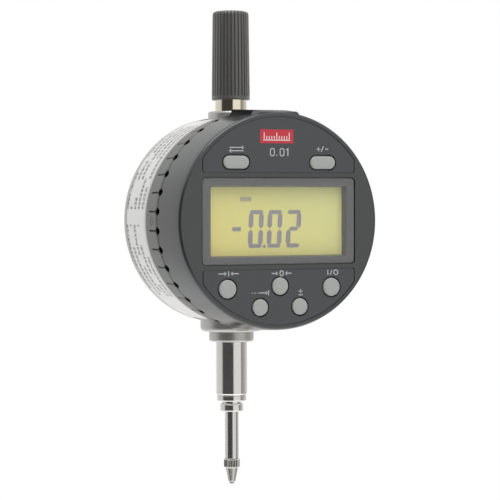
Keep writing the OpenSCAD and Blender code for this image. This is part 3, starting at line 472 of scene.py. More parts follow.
for quarter in (45, 135, 225, 315):
    corners, faces = turned([(0, back_face - 1), (1.5, back_face - 1), (1.5, back_face + 0.92),
                             (0, back_face + 0.92)], facing, 40)
    bores.append((corners + facing(bore_r - 1.2, math.radians(quarter), 0)
                  - (0, 0, centre_z), faces))
change(cover, piece("screw_bores", bores, None, "case"))


# ---- Stem and seal nut ----
# Hardened steel, ground and polished bright. The stem is pressed and bonded into the case's
# collar. Its foot is turned down, and a small nut screwed into the foot holds the seal.

def polished(name, colour, roughness=0.12, lines=0.35, relief=0.0006, axis=2, metal=1.0):
    """Ground and polished metal: clear reflections, drawn out a little by fine lines that run
    round the piece, with faint handling marks in the gloss."""
    material = bpy.data.materials.new(name)
    material.use_nodes = True
    tree = material.node_tree
    shader = tree.nodes["Principled BSDF"]
    shader.inputs["Metallic"].default_value = metal
    shader.inputs["Base Color"].default_value = paint(colour)
    place = add(tree, "TexCoord").outputs["Object"]
    spread = [20.0, 20.0, 20.0]
    spread[axis] = 1000/lines
    marks = add(tree, "TexNoise", {"Vector": add(tree, "Mapping", {0: place, 3: spread}).outputs[0],
                                   "Scale": 1.0, "Detail": 2.0})
    smear = add(tree, "TexNoise", {"Vector": place, "Scale": 260.0, "Detail": 3.0})
    rough = add(tree, "MapRange", {0: smear.outputs[0], 1: 0.35, 2: 0.7, 3: roughness,
                                   4: roughness + 0.07})
    tree.links.new(rough.outputs[0], shader.inputs["Roughness"])
    bump = add(tree, "Bump", {"Height": marks.outputs[0], "Strength": 0.35,
                              "Distance": relief/1000})
    tree.links.new(bump.outputs[0], shader.inputs["Normal"])
    return material


chrome = polished("ground_chrome_steel", "d9d8d5", 0.1, metal=0.93)
stem_low, stem_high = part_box("stem")
stem_r = (stem_high.x - stem_low.x)*500
stem_foot, stem_top = stem_low.z*1000, stem_high.z*1000
shoulder = stem_foot + 2
stem_line = rounded(
    [(3.12, stem_foot), (4.3, stem_foot), (4.5, stem_foot + 0.28), (4.5, shoulder - 0.42),
     (4.36, shoulder - 0.36), (4.36, shoulder - 0.2), (4.5, shoulder - 0.15),
     (4.5, shoulder - 0.02), (stem_r, shoulder + 0.3), (stem_r, collar_foot - 0.02),
     (stem_r - 0.2, collar_foot), (stem_r - 0.2, stem_top), (2.5, stem_top),
     (2.5, stem_foot + 13), (3.12, stem_foot + 13)],
    [0.05, 0.1, 0.1, 0.05, 0.03, 0.03, 0.03, 0.03, 0.12, 0.02, 0.02, 0.1, 0.1, 0.1, 0.1], 4)
piece("clamping_stem", [turned(stem_line, sides=160)], chrome, "case", ["stem"], 25)

nut_low, nut_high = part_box("seal_nut")
nut_foot = nut_low.z*1000
nut_r = (nut_high.x - nut_low.x)*500
nut_line = rounded(
    [(2.3, nut_foot), (nut_r, nut_foot), (nut_r, nut_foot + 2.2), (2.95, nut_foot + 2.45),
     (2.95, stem_foot + 0.1), (3.08, stem_foot + 0.3), (3.08, stem_foot + 2.8),
     (2.3, stem_foot + 2.8)], [0.15, 0.55, 0.55, 0.12, 0.05, 0.05, 0.1, 0.1], 6)
piece("seal_nut_body", [turned(nut_line, sides=128)], chrome, "case",
      ["seal_nut"], 25)


# ---- Spindle and contact point ----
# The spindle is hardened steel, ground and lapped to slide in its bushes. The contact point
# screws into its foot by a coarse straight knurl, and a lapped carbide ball is set in its end.

spindle_low, spindle_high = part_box("spindle")
spindle_r = (spindle_high.x - spindle_low.x)*500
spindle_line = rounded([(0, spindle_low.z*1000), (spindle_r, spindle_low.z*1000),
                        (spindle_r, spindle_high.z*1000), (0, spindle_high.z*1000)],
                       [0, 0.25, 0.4, 0], 5)
spindle_line[[0, 1, -1, -2], 0] = 0
steel = polished("lapped_spindle_steel", "d4d3d0", 0.1, 0.25, metal=0.94)
piece("sliding_spindle", [turned(spindle_line, sides=128)], steel, "plunger",
      ["spindle"], 25)

point_low, point_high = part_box("contact_point")
knurl_r = (point_high.x - point_low.x)*500
point_top, cone_end = spindle_low.z*1000, point_low.z*1000
knurl_len, teeth_depth, TEETH = 2.8, 0.3, 18
knurl_foot = point_top - knurl_len
point_line = rounded(
    [(0, cone_end), (1.075, cone_end), (1.9, knurl_foot - 0.02), (knurl_r - 0.25, knurl_foot),
     (knurl_r, knurl_foot + 0.35), (knurl_r, point_top - 0.35), (knurl_r - 0.35, point_top),
     (0, point_top)], [0, 0.3, 0.1, 0.15, 0.12, 0.12, 0.12, 0], 5)
point_line[[0, 1, -1, -2], 0] = 0
turn = np.linspace(0, 2*np.pi, TEETH*16, endpoint=False)[:, None]
radius, height = point_line[None, :, 0], point_line[None, :, 1]
# Eighteen straight teeth: the radius drops by up to 0.3 mm along a rounded wave on the collar.
teeth = (teeth_depth*(0.5 + 0.5*np.cos(TEETH*turn))**1.5
         * np.clip((radius - 2.05)/0.3, 0, 1))
point = skin(upright(radius - teeth, turn, height))
piece("contact_point_body", [point], polished("turned_steel", "c4c2be", 0.14, 0.2), "plunger",
      ["contact_point"], 40)

ball_low, ball_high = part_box("contact_ball")
ball_r = (ball_high.x - ball_low.x)*500
lean = np.linspace(0, np.pi, 40)
ball_line = np.stack((ball_r*np.sin(lean), ball_low.z*1000 + ball_r*(1 - np.cos(lean))), 1)
piece("lapped_ball", [turned(ball_line, sides=64)],
      polished("lapped_carbide", "8f9092", 0.1, 0.1), "plunger", ["contact_ball"], 60)


# ---- Sleeve, cap and its ring ----
# A bright nickel plated sleeve is screwed into the upper boss and houses the spring. A satin
# black fluted cap pushes over it on a rubber ring, and comes off to fit a lifting lever.

def moulded(name, colour, roughness, grain=0.3, relief=0.01, specular=0.5, drift=0.1):
    """Moulded plastic: a fine even eroded texture from the mould, and a slow change of tone
    and gloss from flow and handling."""
    material = bpy.data.materials.new(name)
    material.use_nodes = True
    tree = material.node_tree
    shader = tree.nodes["Principled BSDF"]
    shader.inputs["Specular IOR Level"].default_value = specular
    place = add(tree, "TexCoord").outputs["Object"]
    fine = add(tree, "TexNoise", {"Vector": place, "Scale": 1000/grain, "Detail": 2.0})
    cloud = add(tree, "TexNoise", {"Vector": place, "Scale": 70.0, "Detail": 3.0})
    low = tuple((1 - drift)*c for c in paint(colour)[:3]) + (1.0,)
    high = tuple(min(1.0, (1 + drift)*c) for c in paint(colour)[:3]) + (1.0,)
    tone = add(tree, "MixRGB", {0: cloud.outputs[0], 1: low, 2: high})
    tree.links.new(tone.outputs[0], shader.inputs["Base Color"])
    rough = add(tree, "MapRange", {0: cloud.outputs[0], 3: roughness - 0.04, 4: roughness + 0.04})
    tree.links.new(rough.outputs[0], shader.inputs["Roughness"])
    bump = add(tree, "Bump", {"Height": fine.outputs[0], "Strength": 0.4,
                              "Distance": relief/1000})
    tree.links.new(bump.outputs[0], shader.inputs["Normal"])
    return material


sleeve_low, sleeve_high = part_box("upper_sleeve")
sleeve_r = (sleeve_high.x - sleeve_low.x)*500
sleeve_foot, sleeve_top = sleeve_low.z*1000, sleeve_high.z*1000
cap_low, cap_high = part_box("top_cap")
cap_foot, cap_top = cap_low.z*1000, cap_high.z*1000
sleeve_line = rounded(
    [(0, sleeve_top - 1.2), (0, sleeve_top), (sleeve_r - 0.5, sleeve_top),
     (sleeve_r, sleeve_top - 0.5), (sleeve_r, cap_foot + 3.2), (sleeve_r - 0.6, cap_foot + 3.2),
     (sleeve_r - 0.6, cap_foot + 2.4), (sleeve_r, cap_foot + 2.4), (sleeve_r, sleeve_foot),
     (3.7, sleeve_foot), (3.7, sleeve_top - 1.2)],
    [0, 0, 0.2, 0.2, 0.04, 0.04, 0.04, 0.04, 0.1, 0.1, 0.1], 4)
sleeve_line[sleeve_line[:, 0] < 0.01, 0] = 0
nickel = polished("bright_nickel", "e6dfce", 0.07, 0.3)
piece("spring_sleeve", [turned(sleeve_line, sides=128)], nickel, "case",
      ["upper_sleeve"], 25)

cap_foot_r, crown_r, cap_bore_r = 5.825, 5.5, sleeve_r + 0.04
cap_line = rounded(
    [(cap_bore_r, cap_foot), (cap_foot_r, cap_foot), (cap_foot_r, cap_foot + 1.0),
     (cap_foot_r - 0.02, cap_foot + 1.25), (crown_r, cap_top - 0.9), (crown_r - 0.25, cap_top - 0.3),
     (crown_r - 1.0, cap_top), (0, cap_top), (0, cap_top - 4), (cap_bore_r, cap_top - 4)],
    [0.1, 0.3, 0.08, 0.08, 0.35, 0.3, 0.4, 0, 0, 0.3], 5)
cap_line[cap_line[:, 0] < 0.01, 0] = 0
turn = np.linspace(0, 2*np.pi, 32*14, endpoint=False)[:, None]
radius, height = cap_line[None, :, 0], cap_line[None, :, 1]
outer = (radius > crown_r - 0.7)*(height > cap_foot + 1.1)
# Thirty-two grooves of round section: the radius drops by up to 0.36 mm, and the groove runs
# out over the crown's edge.
groove = 0.36*np.sqrt(np.clip(1 - (np.sin(16*turn)/0.62)**2, 0, 1))*outer
piece("fluted_cap", [skin(upright(radius - groove, turn, height))],
      moulded("satin_cap_plastic", "525251", 0.4, 0.25, 0.01, 1.0), "case", ["top_cap"], 34)


# ---- Display housing ----
# The head's front shell, moulded in dark grey plastic with a fine satin texture. Its face is
# flat with recesses for the window and two panels, and half of each seam pocket is in its rim.

seam = ring_low.y*-1000 + 0.05
face = -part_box("upper_panel")[0].y*1000
seam_r = (ring_high.x - ring_low.x)*500
face_r = seam_r - 0.8
inner_r = seam_r - 3
wall_back = face - 2.2
POCKETS = 36
pitch = 2*np.pi/POCKETS
# Points round the rim, in millimetres from each pocket's middle: close together over the pocket.
arc_half = pitch*seam_r/2
spread = np.concatenate((np.linspace(-arc_half, -1.15, 8, endpoint=False),
                         np.linspace(-1.15, 1.15, 24, endpoint=False),
                         np.linspace(1.15, arc_half, 8, endpoint=False)))
around = (((np.arange(POCKETS) + 0.5)*pitch)[:, None] + spread/seam_r).reshape(-1, 1)
pocket_w, pocket_len, pocket_depth = 2.4, 3.2, 1.6
seam_v, seam_v_half = 0.26, 0.17


def pocket(angle, depth):
    """How deep the surface sinks at the seam: a fine V all round it, and at each pocket an
    oval, where |across/half width|^1.4 + |along/half length|^1.4 is below 1."""
    offset = ((angle/pitch) % 1 - 0.5)*pitch*seam_r
    along = np.abs(depth - seam)
    reach = (np.abs(offset)/(pocket_w/2))**1.4 + (along/(pocket_len/2))**1.4
    return np.maximum(pocket_depth*np.clip((1 - reach)/0.2, 0, 1),
                      seam_v*np.clip(1 - along/seam_v_half, 0, 1))


# Painted shade: a near-black matt colour for the pocket floors. It stands in for the shade that falls
# in the deep pockets and is not a different material.
pocket_painted_shade = moulded("painted_shade_in_pockets", "0c0c0c", 0.8, 0.3, 0.004, 0.05)


def paint_pocket_shade(thing):
    """Gives the faces that lie down in a pocket a painted shade: a near-black colour that stands in
    for the shade in the pocket, on the same plastic as the wall.
    """
    mesh = thing.data
    mesh.materials.append(pocket_painted_shade)
    middle = np.empty(len(mesh.polygons)*3)
    mesh.polygons.foreach_get("center", middle)
    x, y, z = middle.reshape(-1, 3).T*1000
    low = np.hypot(x, z - centre_z) < seam_r - 0.3
    deep = pocket(np.arctan2(x, z - centre_z), -y) > 0.3
    mesh.polygons.foreach_set("material_index", (low & deep).astype(np.int32))


edge = 0.95
wall_depths = np.concatenate((np.linspace(face - edge - 0.4, seam + 1.8, 8),
                              np.linspace(seam + 1.6, seam, 20)))
wall_r = face_r + (seam_r - face_r)*((face - edge - wall_depths)/(face - edge - seam))**0.8
bend = np.linspace(0, np.pi/2, 9)
lip = np.stack((face_r - edge + edge*np.sin(bend), face - edge + edge*np.cos(bend)), 1)
lip = np.concatenate(([(face_r - edge - 0.12, face)], lip, [(face_r, face - edge - 0.1)]))
shell_line = np.concatenate((lip, np.stack((wall_r, wall_depths), 1),
                             [(inner_r, seam), (inner_r, wall_back)]))
radius, depth = shell_line[None, :, 0], shell_line[None, :, 1]
rim = (radius > seam_r - 1.2)*(depth < seam + 1.5)
head_plastic = moulded("satin_head_plastic", "2d2f31", 0.22, 0.3, 0.004, 0.75)
housing = piece("front_shell", [skin(facing(radius - pocket(around, depth)*rim, around, depth),
                                     (True, False), caps=True)],
                head_plastic, "head", ["display_housing"])
# The pocket floors in the shell's rim get the painted shade.
paint_pocket_shade(housing)

window_w, window_h = 49.0, 25.4
opening = box_outline(window_w, window_h, 1.3)
panel_r, panel_half, upper_edge, lower_edge = 30.1, 24.2, 14.0, -14.0


def panel_outline(level, grow=0.0):
    """A face panel's outline: an arc of the panel radius cut off by one straight edge across
    and one up each side, with small round corners."""
    sign = math.copysign(1, level)
    r, half = panel_r + grow, panel_half + grow
    first = math.acos(half/r)
    sweep = np.linspace(first, np.pi - first, 65)
    arc = np.stack((r*np.cos(sweep), r*np.sin(sweep)), 1)
    bottom = abs(level) - grow
    corner = 0.7 + grow
    turn = np.linspace(0, np.pi/2, 7)
    left = np.stack((-half + corner*(1 - np.cos(turn)), bottom + corner*(1 - np.sin(turn))), 1)
    outline = np.concatenate((arc, left, (left*(-1, 1))[::-1]))
    return outline*(1, sign)


KEYS = {"key_units": "press_units", "key_sign": "press_sign", "key_mode": "press_mode",
        "key_zero": "press_zero", "key_power": "press_power", "key_preset": "press_preset",
        "key_limits": "press_limits"}


def key_place(name):
    """A key's size and centre on the face: its flange stands out 0.7 mm all round it."""
    lowest, highest = (1000*np.array(corner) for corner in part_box(name))
    size = highest - lowest - 1.4
    middle = (highest + lowest)/2
    return size[0], size[2], middle[0], middle[2] - centre_z


def key_outline(name, grow=0.0):
    """A key's outline: round, or with two round ends."""
    w, h, x, z = key_place(name)
    return box_outline(w + 2*grow, h + 2*grow, h/2 + grow - 0.001, x, z, 14)


def tool(*parts):
    """A closed piece that is only used to cut another."""
    return piece("cutter", list(parts), None, "head")


change(housing, tool(slab(opening, face - 1.35, face + 1),
                     slab(panel_outline(upper_edge, 0.12), face - 0.42, face + 1),
                     slab(panel_outline(lower_edge, 0.12), face - 0.42, face + 1)))
change(housing, tool(slab(box_outline(window_w - 2, window_h - 2, 1.3), wall_back - 1, face),
                     *[slab(key_outline(name, 0.45), wall_back - 1, face + 1) for name in KEYS]))
tray_low, tray_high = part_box("battery_drawer")
tray_back, tray_front = -tray_high.y*1000, -tray_low.y*1000
change(housing, tool(slab(box_outline(20, 22.2, 0.4, 35), tray_back - 0.25, tray_front + 0.25)))
port_low, port_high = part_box("port_cover")
port_back, port_front = -port_high.y*1000, -port_low.y*1000
port_foot, port_crown = port_high.x*1000, port_high.z*1000 - centre_z


def port_line(depth, grow=0.0, floor=seam_r - 2):
    """The outline of the low bulge over the data port at a depth: its foot, top and crown
    shrink evenly on the way to the face."""
    share = (depth - port_back)/(face - port_back)
    foot, top = port_foot - 3.1*share + grow, 8.9 - 3.0*share + grow
    crown = port_crown + (face_r + 0.1 - port_crown)*share
    return np.array([(-foot, floor), (foot, floor), (foot, face_r - 0.8), (top, crown),
                     (-top, crown), (-foot, face_r - 0.8)])


lip = [layer(rounded(port_line(d), [0.02, 0.02, 0.4, 0.3, 0.3, 0.4], 4) - (0, drop), d)
       for d, drop in ((port_front - 0.5, 0), (face - 1.1, 0), (face - 0.8, 0.08), (face - 0.62, 0.3))]
change(housing, tool(skin(np.stack(lip, 1), (True, False), caps=True)), "UNION")
recess = [layer(port_line(d, 0.2), d) for d in (port_back - 0.2, port_front + 0.2)]
change(housing, tool(skin(np.stack(recess, 1), (True, False), caps=True)))


# ---- Grip ring ----
# The head's rear half, moulded in the same plastic. A pocket and a shallow groove every ten
# degrees give the fingers a grip when the head is turned.

ring_back = -ring_high.y*1000
ring_rear_r = case_r + 0.2
ring_depths = np.concatenate((np.linspace(seam - 0.05, seam - 1.65, 19),
                              np.linspace(seam - 1.85, seam - 8.6, 17),
                              np.linspace(seam - 8.9, ring_back + 0.75, 4)))
taper = np.clip((seam - 1.6 - ring_depths)/(seam - 1.6 - ring_back), 0, 1)
ring_r = seam_r - (seam_r - ring_rear_r)*taper
ring_line = np.concatenate((
    [(inner_r, seam - 0.05)], np.stack((ring_r, ring_depths), 1),
    [(ring_rear_r + 0.02, ring_back + 0.6), (ring_rear_r - 0.08, ring_back + 0.3),
     (ring_rear_r - 0.3, ring_back + 0.08), (ring_rear_r - 0.6, ring_back),
     (ring_rear_r - 0.7, ring_back), (inner_r - 1.4, ring_back), (inner_r - 1.4, ring_back + 1.5),
     (inner_r, ring_back + 1.5)]))
radius, depth = ring_line[None, :, 0], ring_line[None, :, 1]
offset = ((around/pitch) % 1 - 0.5)*pitch*seam_r
length = np.clip((depth - (seam - 7.8))/0.5, 0, 1)
groove = 0.45*np.clip(1 - np.abs(offset)/0.3, 0, 1)*length
# A small round mark at the left: a sunk ring 2.4 mm across, 0.2 mm deep.
mark = np.hypot((around - 1.5*np.pi)*seam_r, depth - (seam - 4.4))
mark = 0.2*np.clip(1 - np.abs(mark - 1.2)/0.24, 0, 1)
sunk = np.maximum(np.maximum(pocket(around, depth), groove), mark)*(radius > seam_r - 1.2)
ring_plastic = moulded("satin_ring_plastic", "2b2c2d", 0.3, 0.3, 0.004, 0.55)
# The pocket floors in the ring get the painted shade.
paint_pocket_shade(piece("finger_ring", [skin(facing(radius - sunk, around, depth))], ring_plastic,
                "head", ["grip_ring"]))


# ---- Window, frame and liquid crystal ----
# A clear hard coated acrylic window is glued flush in the face over a deep grey frame. The
# liquid crystal lies at the frame's foot, yellow green with soft grey figures.

crystal_front = -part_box("lcd_glass")[0].y*1000
hole = box_outline(43.5, 20.5, 0.45, 0.0, -0.1)
view = box_outline(42.1, 19.8, 0.3, 0.35, -0.1)
frame_plastic = moulded("grey_frame_plastic", "3b3b40", 0.3, 0.3, 0.0006, 0.6)
plate_line = box_outline(window_w - 0.5, window_h - 0.5, 1.1)
tub_line = box_outline(45.6, 22.6, 0.8)
arc = np.linspace(0, np.pi/2, 5)
# The opening's walls lean outwards from the crystal to the front: 1.35 mm at the sides.
walls = [layer(tub_line, crystal_front + 0.04), layer(tub_line, crystal_front + 1.4),
         layer(plate_line, crystal_front + 1.4), layer(plate_line, face - 0.5)]
walls += [layer(shrunk(plate_line, 0.1), face - 0.4), layer(shrunk(hole, -0.15), face - 0.4)]
walls += [layer(hole, face - 0.52), layer(view, crystal_front + 0.25),
          layer(view, crystal_front + 0.04)]
piece("window_frame", [skin(np.stack(walls, 1))], frame_plastic, "head",
      ["lcd_frame", "window_gasket"])

clear = bpy.data.materials.new("hard_coated_acrylic")
clear.use_nodes = True
shader = clear.node_tree.nodes["Principled BSDF"]
shader.inputs["Base Color"].default_value = paint("f4f6f4")
shader.inputs["Alpha"].default_value = 0.05
shader.inputs["IOR"].default_value = 1.49
haze = add(clear.node_tree, "TexNoise", {
    "Vector": add(clear.node_tree, "TexCoord").outputs["Object"], "Scale": 150.0})
haze = add(clear.node_tree, "MapRange", {0: haze.outputs[0], 3: 0.02, 4: 0.06})
clear.node_tree.links.new(haze.outputs[0], shader.inputs["Roughness"])
piece("window_lens", [slab(box_outline(window_w - 0.5, window_h - 0.5, 1.1), face - 0.38,
                           face - 0.05, 0.1)], clear, "head", ["display_window"])

crystal = bpy.data.materials.new("reflective_liquid_crystal")
crystal.use_nodes = True
tree = crystal.node_tree
shader = tree.nodes["Principled BSDF"]
shader.inputs["Roughness"].default_value = 0.35
shader.inputs["Specular IOR Level"].default_value = 0.3
place = add(tree, "TexCoord").outputs["Object"]
axes = add(tree, "SeparateXYZ", {0: add(tree, "Mapping", {
    0: place, 1: (0, 0, -centre_z/1000)}).outputs[0]})
lean = add(tree, "Math", {0: axes.outputs[2], 1: 1.2, 2: axes.outputs[0]},
           operation="MULTIPLY_ADD")
slope = add(tree, "MapRange", {0: lean.outputs[0], 1: -0.03, 2: 0.03})
wash = add(tree, "MixRGB", {0: slope.outputs[0], 1: paint("e3d87e"), 2: paint("dcdd94")})
# The reflector behind the crystal is a fine foil: its grain is about 0.15 mm, drawn at 0.4 mm.
foil = add(tree, "TexNoise", {"Vector": place, "Scale": 2500.0, "Detail": 2.0})
foil = add(tree, "MapRange", {0: foil.outputs[0], 3: 0.0, 4: 0.12})
wash = add(tree, "MixRGB", {0: foil.outputs[0], 1: wash.outputs[0], 2: paint("a9ab62")})
tree.links.new(wash.outputs[0], shader.inputs["Base Color"])
crystal_ink = moulded("crystal_figures", "8f8a90", 0.5, 0.4, 0.0, 0.3, 0.05)


def dressed(node, finish):
    """Gives a CAD node that is shown as it is its finish."""
    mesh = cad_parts[node].data
    mesh.materials.clear()
    mesh.materials.append(finish)


dressed("lcd_glass", crystal)
dressed("lcd_digits", crystal_ink)


def bar(points, width, back, front, closed=False):
    """A flat stroke: a rectangle carried along a line, square to it in the face's plane."""
    p = np.array(points, float)
    ahead, behind = np.roll(p, -1, 0) - p, p - np.roll(p, 1, 0)
    if not closed:
        ahead[-1], behind[0] = behind[-1], ahead[0]
    ahead = ahead/np.linalg.norm(ahead, axis=1)[:, None]
    behind = behind/np.linalg.norm(behind, axis=1)[:, None]
    mean = np.stack((-(ahead + behind)[:, 1], (ahead + behind)[:, 0]), 1)
    side = width*mean/np.sum(mean*mean, axis=1)[:, None]
    loops = [layer(p - side, back), layer(p - side, front), layer(p + side, front),
             layer(p + side, back)]
    grid = np.stack(loops, 0)
    return skin(grid, (True, closed), caps=not closed)


unit_z, unit_x = 6.35, -9.65
piece("unit_mark", [bar([(unit_x + s, unit_z - 0.65), (unit_x + s + 0.06, unit_z + 0.65)], 0.34,
                        crystal_front, crystal_front + 0.05)
                    for s in (-1.5, -0.9, -0.3, 0.3, 0.9, 1.5)],
      crystal_ink, "head")


# ---- Face panels and print ----
# Two printed polyester overlays lie flush in the face round the keys. The print is pale grey:
# plain signs over each key, a resolution figure, and a red badge with a row of scale lines.

film_plastic = moulded("printed_overlay", "2d3236", 0.24, 0.22, 0.004, 0.76, 0.05)
for name, level, node in (("upper_overlay", upper_edge, "upper_panel"),
                          ("lower_overlay", lower_edge, "lower_panel")):
    overlay = piece(name, [slab(panel_outline(level, -0.1), face - 0.4, face, 0.07)],
                    film_plastic, "head", [node])
    upper = level > 0
    change(overlay, tool(*[slab(key_outline(key, 0.45), face - 1, face + 1) for key in KEYS
                           if (key_place(key)[3] > 0) == upper]))

pale = moulded("pale_grey_print", "b9bec0", 0.5, 0.2, 0.0, 0.4, 0.03)
red = moulded("red_print", "c2323f", 0.42, 0.2, 0.0, 0.4, 0.04)
white = moulded("white_print", "ece4e2", 0.5, 0.2, 0.0, 0.4, 0.03)
print_back, print_front = face - 0.02, face + 0.015
thin = 0.27


def drawn(lines, x, z, width=thin):
    """Strokes of print: each line is a list of points, moved to a place on the face."""
    return [bar(np.array(line, float) + (x, z), width, print_back, print_front) for line in lines]


def zero_line(x, z, w, h):
    """The figure 0, a closed line with round corners."""
    return bar(box_outline(w, h, w*0.42, x, z, 6), thin, print_back, print_front, True)


def arrow(x, z, length, sign):
    """An arrow along the face, as a shaft and two barbs."""
    tip, tail = x + sign*length/2, x - sign*length/2
    return drawn([[(tail, z), (tip, z)], [(tip - sign*0.5, z + 0.45), (tip, z),
                                         (tip - sign*0.5, z - 0.45)]], 0, 0)


signs = []
# Left oval key: two opposite arrows under a short rule.
signs += arrow(-13.66, 21.15, 4.4, 1) + arrow(-13.66, 20.2, 4.4, -1)
# Right oval key: plus, slash, minus.
signs += drawn([[(-0.6, 0), (0.6, 0)], [(0, -0.6), (0, 0.6)]], 12.5, 20.85)
signs += drawn([[(-0.35, -0.8), (0.35, 0.8)], [(0.9, 0), (1.9, 0)]], 13.75, 20.9)
# The resolution figure, 0.01.
signs += [zero_line(-2.35, 19.9, 1.25, 2.1), zero_line(0.75, 19.9, 1.25, 2.1)]
signs += drawn([[(-0.95, 18.85), (-0.95, 19.15)], [(2.1, 20.5), (2.6, 20.9), (2.6, 18.85)]],
               0, 0, 0.32)
# Mode: two arrows that meet a datum line from both sides.
signs += arrow(-18.2, -15.0, 2.4, 1) + arrow(-14.3, -15.0, 2.4, -1)
signs += drawn([[(-16.25, -15.75), (-16.25, -14.25)]], 0, 0)
# Zero: two arrows that meet the figure 0.
signs += arrow(-1.7, -15.15, 1.9, 1) + arrow(2.7, -15.15, 1.9, -1)
signs += [zero_line(0.5, -15.15, 0.95, 1.5)]
# Power: a line and a ring.
ring = np.linspace(0, 2*np.pi, 24, endpoint=False)
signs += [bar(np.stack((18.1 + 0.68*np.cos(ring), -15.15 + 0.68*np.sin(ring)), 1), thin,
              print_back, print_front, True)]
signs += drawn([[(15.5, -15.9), (15.5, -14.4)], [(16.3, -15.9), (16.8, -14.4)]], 0, 0)
# Preset: an arrow to a line, with three dots before it.
signs += arrow(-5.3, -20.7, 2.6, 1)
signs += drawn([[(-3.65, -21.45), (-3.65, -19.95)], [(-9.0, -20.7), (-8.7, -20.7)],
                [(-8.1, -20.7), (-7.8, -20.7)], [(-7.2, -20.7), (-6.9, -20.7)]], 0, 0)
# Limits: plus over minus.
signs += drawn([[(-0.65, 0.3), (0.65, 0.3)], [(0, -0.3), (0, 0.9)], [(-0.65, -0.75), (0.65, -0.75)]],
               6.6, -20.75)
piece("key_signs", signs, pale, "head")

badge_x, badge_z = -0.95, 24.45
piece("badge", [slab(box_outline(10.6, 3.95, 0.25, badge_x, badge_z), face - 0.03, face + 0.02)],
      red, "head")
marks = [drawn([[(badge_x - 4 + i*0.8, badge_z - 1.1), (badge_x - 4 + i*0.8,
                badge_z + (1.1 if i % 5 == 0 else 0.1))]], 0, 0, 0.24)[0] for i in range(11)]
marks += drawn([[(badge_x - 4.3, badge_z - 1.1), (badge_x + 4.3, badge_z - 1.1)]], 0, 0, 0.24)
piece("badge_lines", [(corners - (0, 0.012, 0), faces) for corners, faces in marks],
      white, "head")


# ---- Keys ----
# Light grey satin plastic caps, a little crowned, each held behind the shell by its flange over
# a rubber pad.

key_plastic = moulded("satin_key_plastic", "a3a6a3", 0.38, 0.25, 0.006, 0.5, 0.04)
for name, joint in KEYS.items():
    w, h, x, z = key_place(name)
    body = joint
    rise = np.array([(0.7, -2.35 - 0.7), (0.7, -2.35), (0.0, -2.35), (0.0, 0.12), (0.03, 0.24),
                     (0.12, 0.34), (0.3, 0.41), (0.6, 0.455), (0.95, 0.48), (h/2 - 0.6, 0.497),
                     (h/2 - 0.25, 0.5)])
    loops = [layer(key_outline(name, grow if i < 3 else -grow), face + level)
             for i, (grow, level) in enumerate(rise)]
    foot = turned([(0, wall_back - 2.25), (1.5, wall_back - 2.25), (1.5, wall_back - 0.5),
                   (0, wall_back - 0.5)], facing, 40)
    foot = (foot[0] + (x, 0, z), foot[1])
    piece(name + "_cap", [skin(np.stack(loops, 1), (True, False), caps=True), foot], key_plastic,
          body, [name], 40)


# ---- Data port cover ----
# A matt black rubbery plug pushed into the top of the head over the data port, with a step
# along each flank.

port_black = moulded("matt_port_rubber", "0f0d0d", 0.6, 0.4, 0.004, 0.1, 0.1)
plug_low = (port_back, port_back + 0.3, port_front - 0.3, port_front)
plug_loops = []
for d, drop in zip(plug_low, (0.25, 0, 0, 0.2)):
    line = port_line(d)
    # A step runs along each flank, half way up: the lower half stands 0.25 mm proud.
    foot, shoulder, top = line[1], line[2], line[3]
    half = shoulder + (top - shoulder)*0.5
    flank = [foot, shoulder, half, half - (0.25, 0.02), top]
    outline = np.array(flank + [(-x, z) for x, z in flank[::-1]]) - (0, drop)
    plug_loops.append(layer(rounded(outline, [0.02, 0.1, 0.06, 0.06, 0.35, 0.35, 0.06, 0.06, 0.1,
                                              0.02], 3), d))
piece("port_plug", [skin(np.stack(plug_loops, 1), (True, False), caps=True)], port_black,
      "port_plug", ["port_cover"], 30)


# ---- Battery drawer and cell ----
# A tray of the head's plastic slides in from the right with the coin cell lying in it. Its end
# follows the head's wall, with a small nail groove.

dressed("battery_drawer", head_plastic)
dressed("coin_cell", polished("nickel_plated_can", "d3d0c8", 0.22, 0.3, 0.001, 1))


# ---- Inside the case and the head ----
# Pieces that a view from outside doesn't reach. Each keeps its machined shape and gets the
# finish that it has on the bench.

def plain(name, colour, roughness, metal=0.0, grain=0.3, relief=0.004, alpha=1.0):
    """A simple finish: one tone with a fine grain in its gloss and surface."""
    material = bpy.data.materials.new(name)
    material.use_nodes = True
    tree = material.node_tree
    shader = tree.nodes["Principled BSDF"]
    shader.inputs["Metallic"].default_value = metal
    shader.inputs["Alpha"].default_value = alpha
    place = add(tree, "TexCoord").outputs["Object"]
    fine = add(tree, "TexNoise", {"Vector": place, "Scale": 1000/grain, "Detail": 2.0})
    low = tuple(0.88*c for c in paint(colour)[:3]) + (1.0,)
    tone = add(tree, "MixRGB", {0: fine.outputs[0], 1: low, 2: paint(colour)})
    tree.links.new(tone.outputs[0], shader.inputs["Base Color"])
    rough = add(tree, "MapRange", {0: fine.outputs[0], 3: roughness - 0.05, 4: roughness + 0.05})
    tree.links.new(rough.outputs[0], shader.inputs["Roughness"])
    bump = add(tree, "Bump", {"Height": fine.outputs[0], "Strength": 0.3,
                              "Distance": relief/1000})
    tree.links.new(bump.outputs[0], shader.inputs["Normal"])
    return material


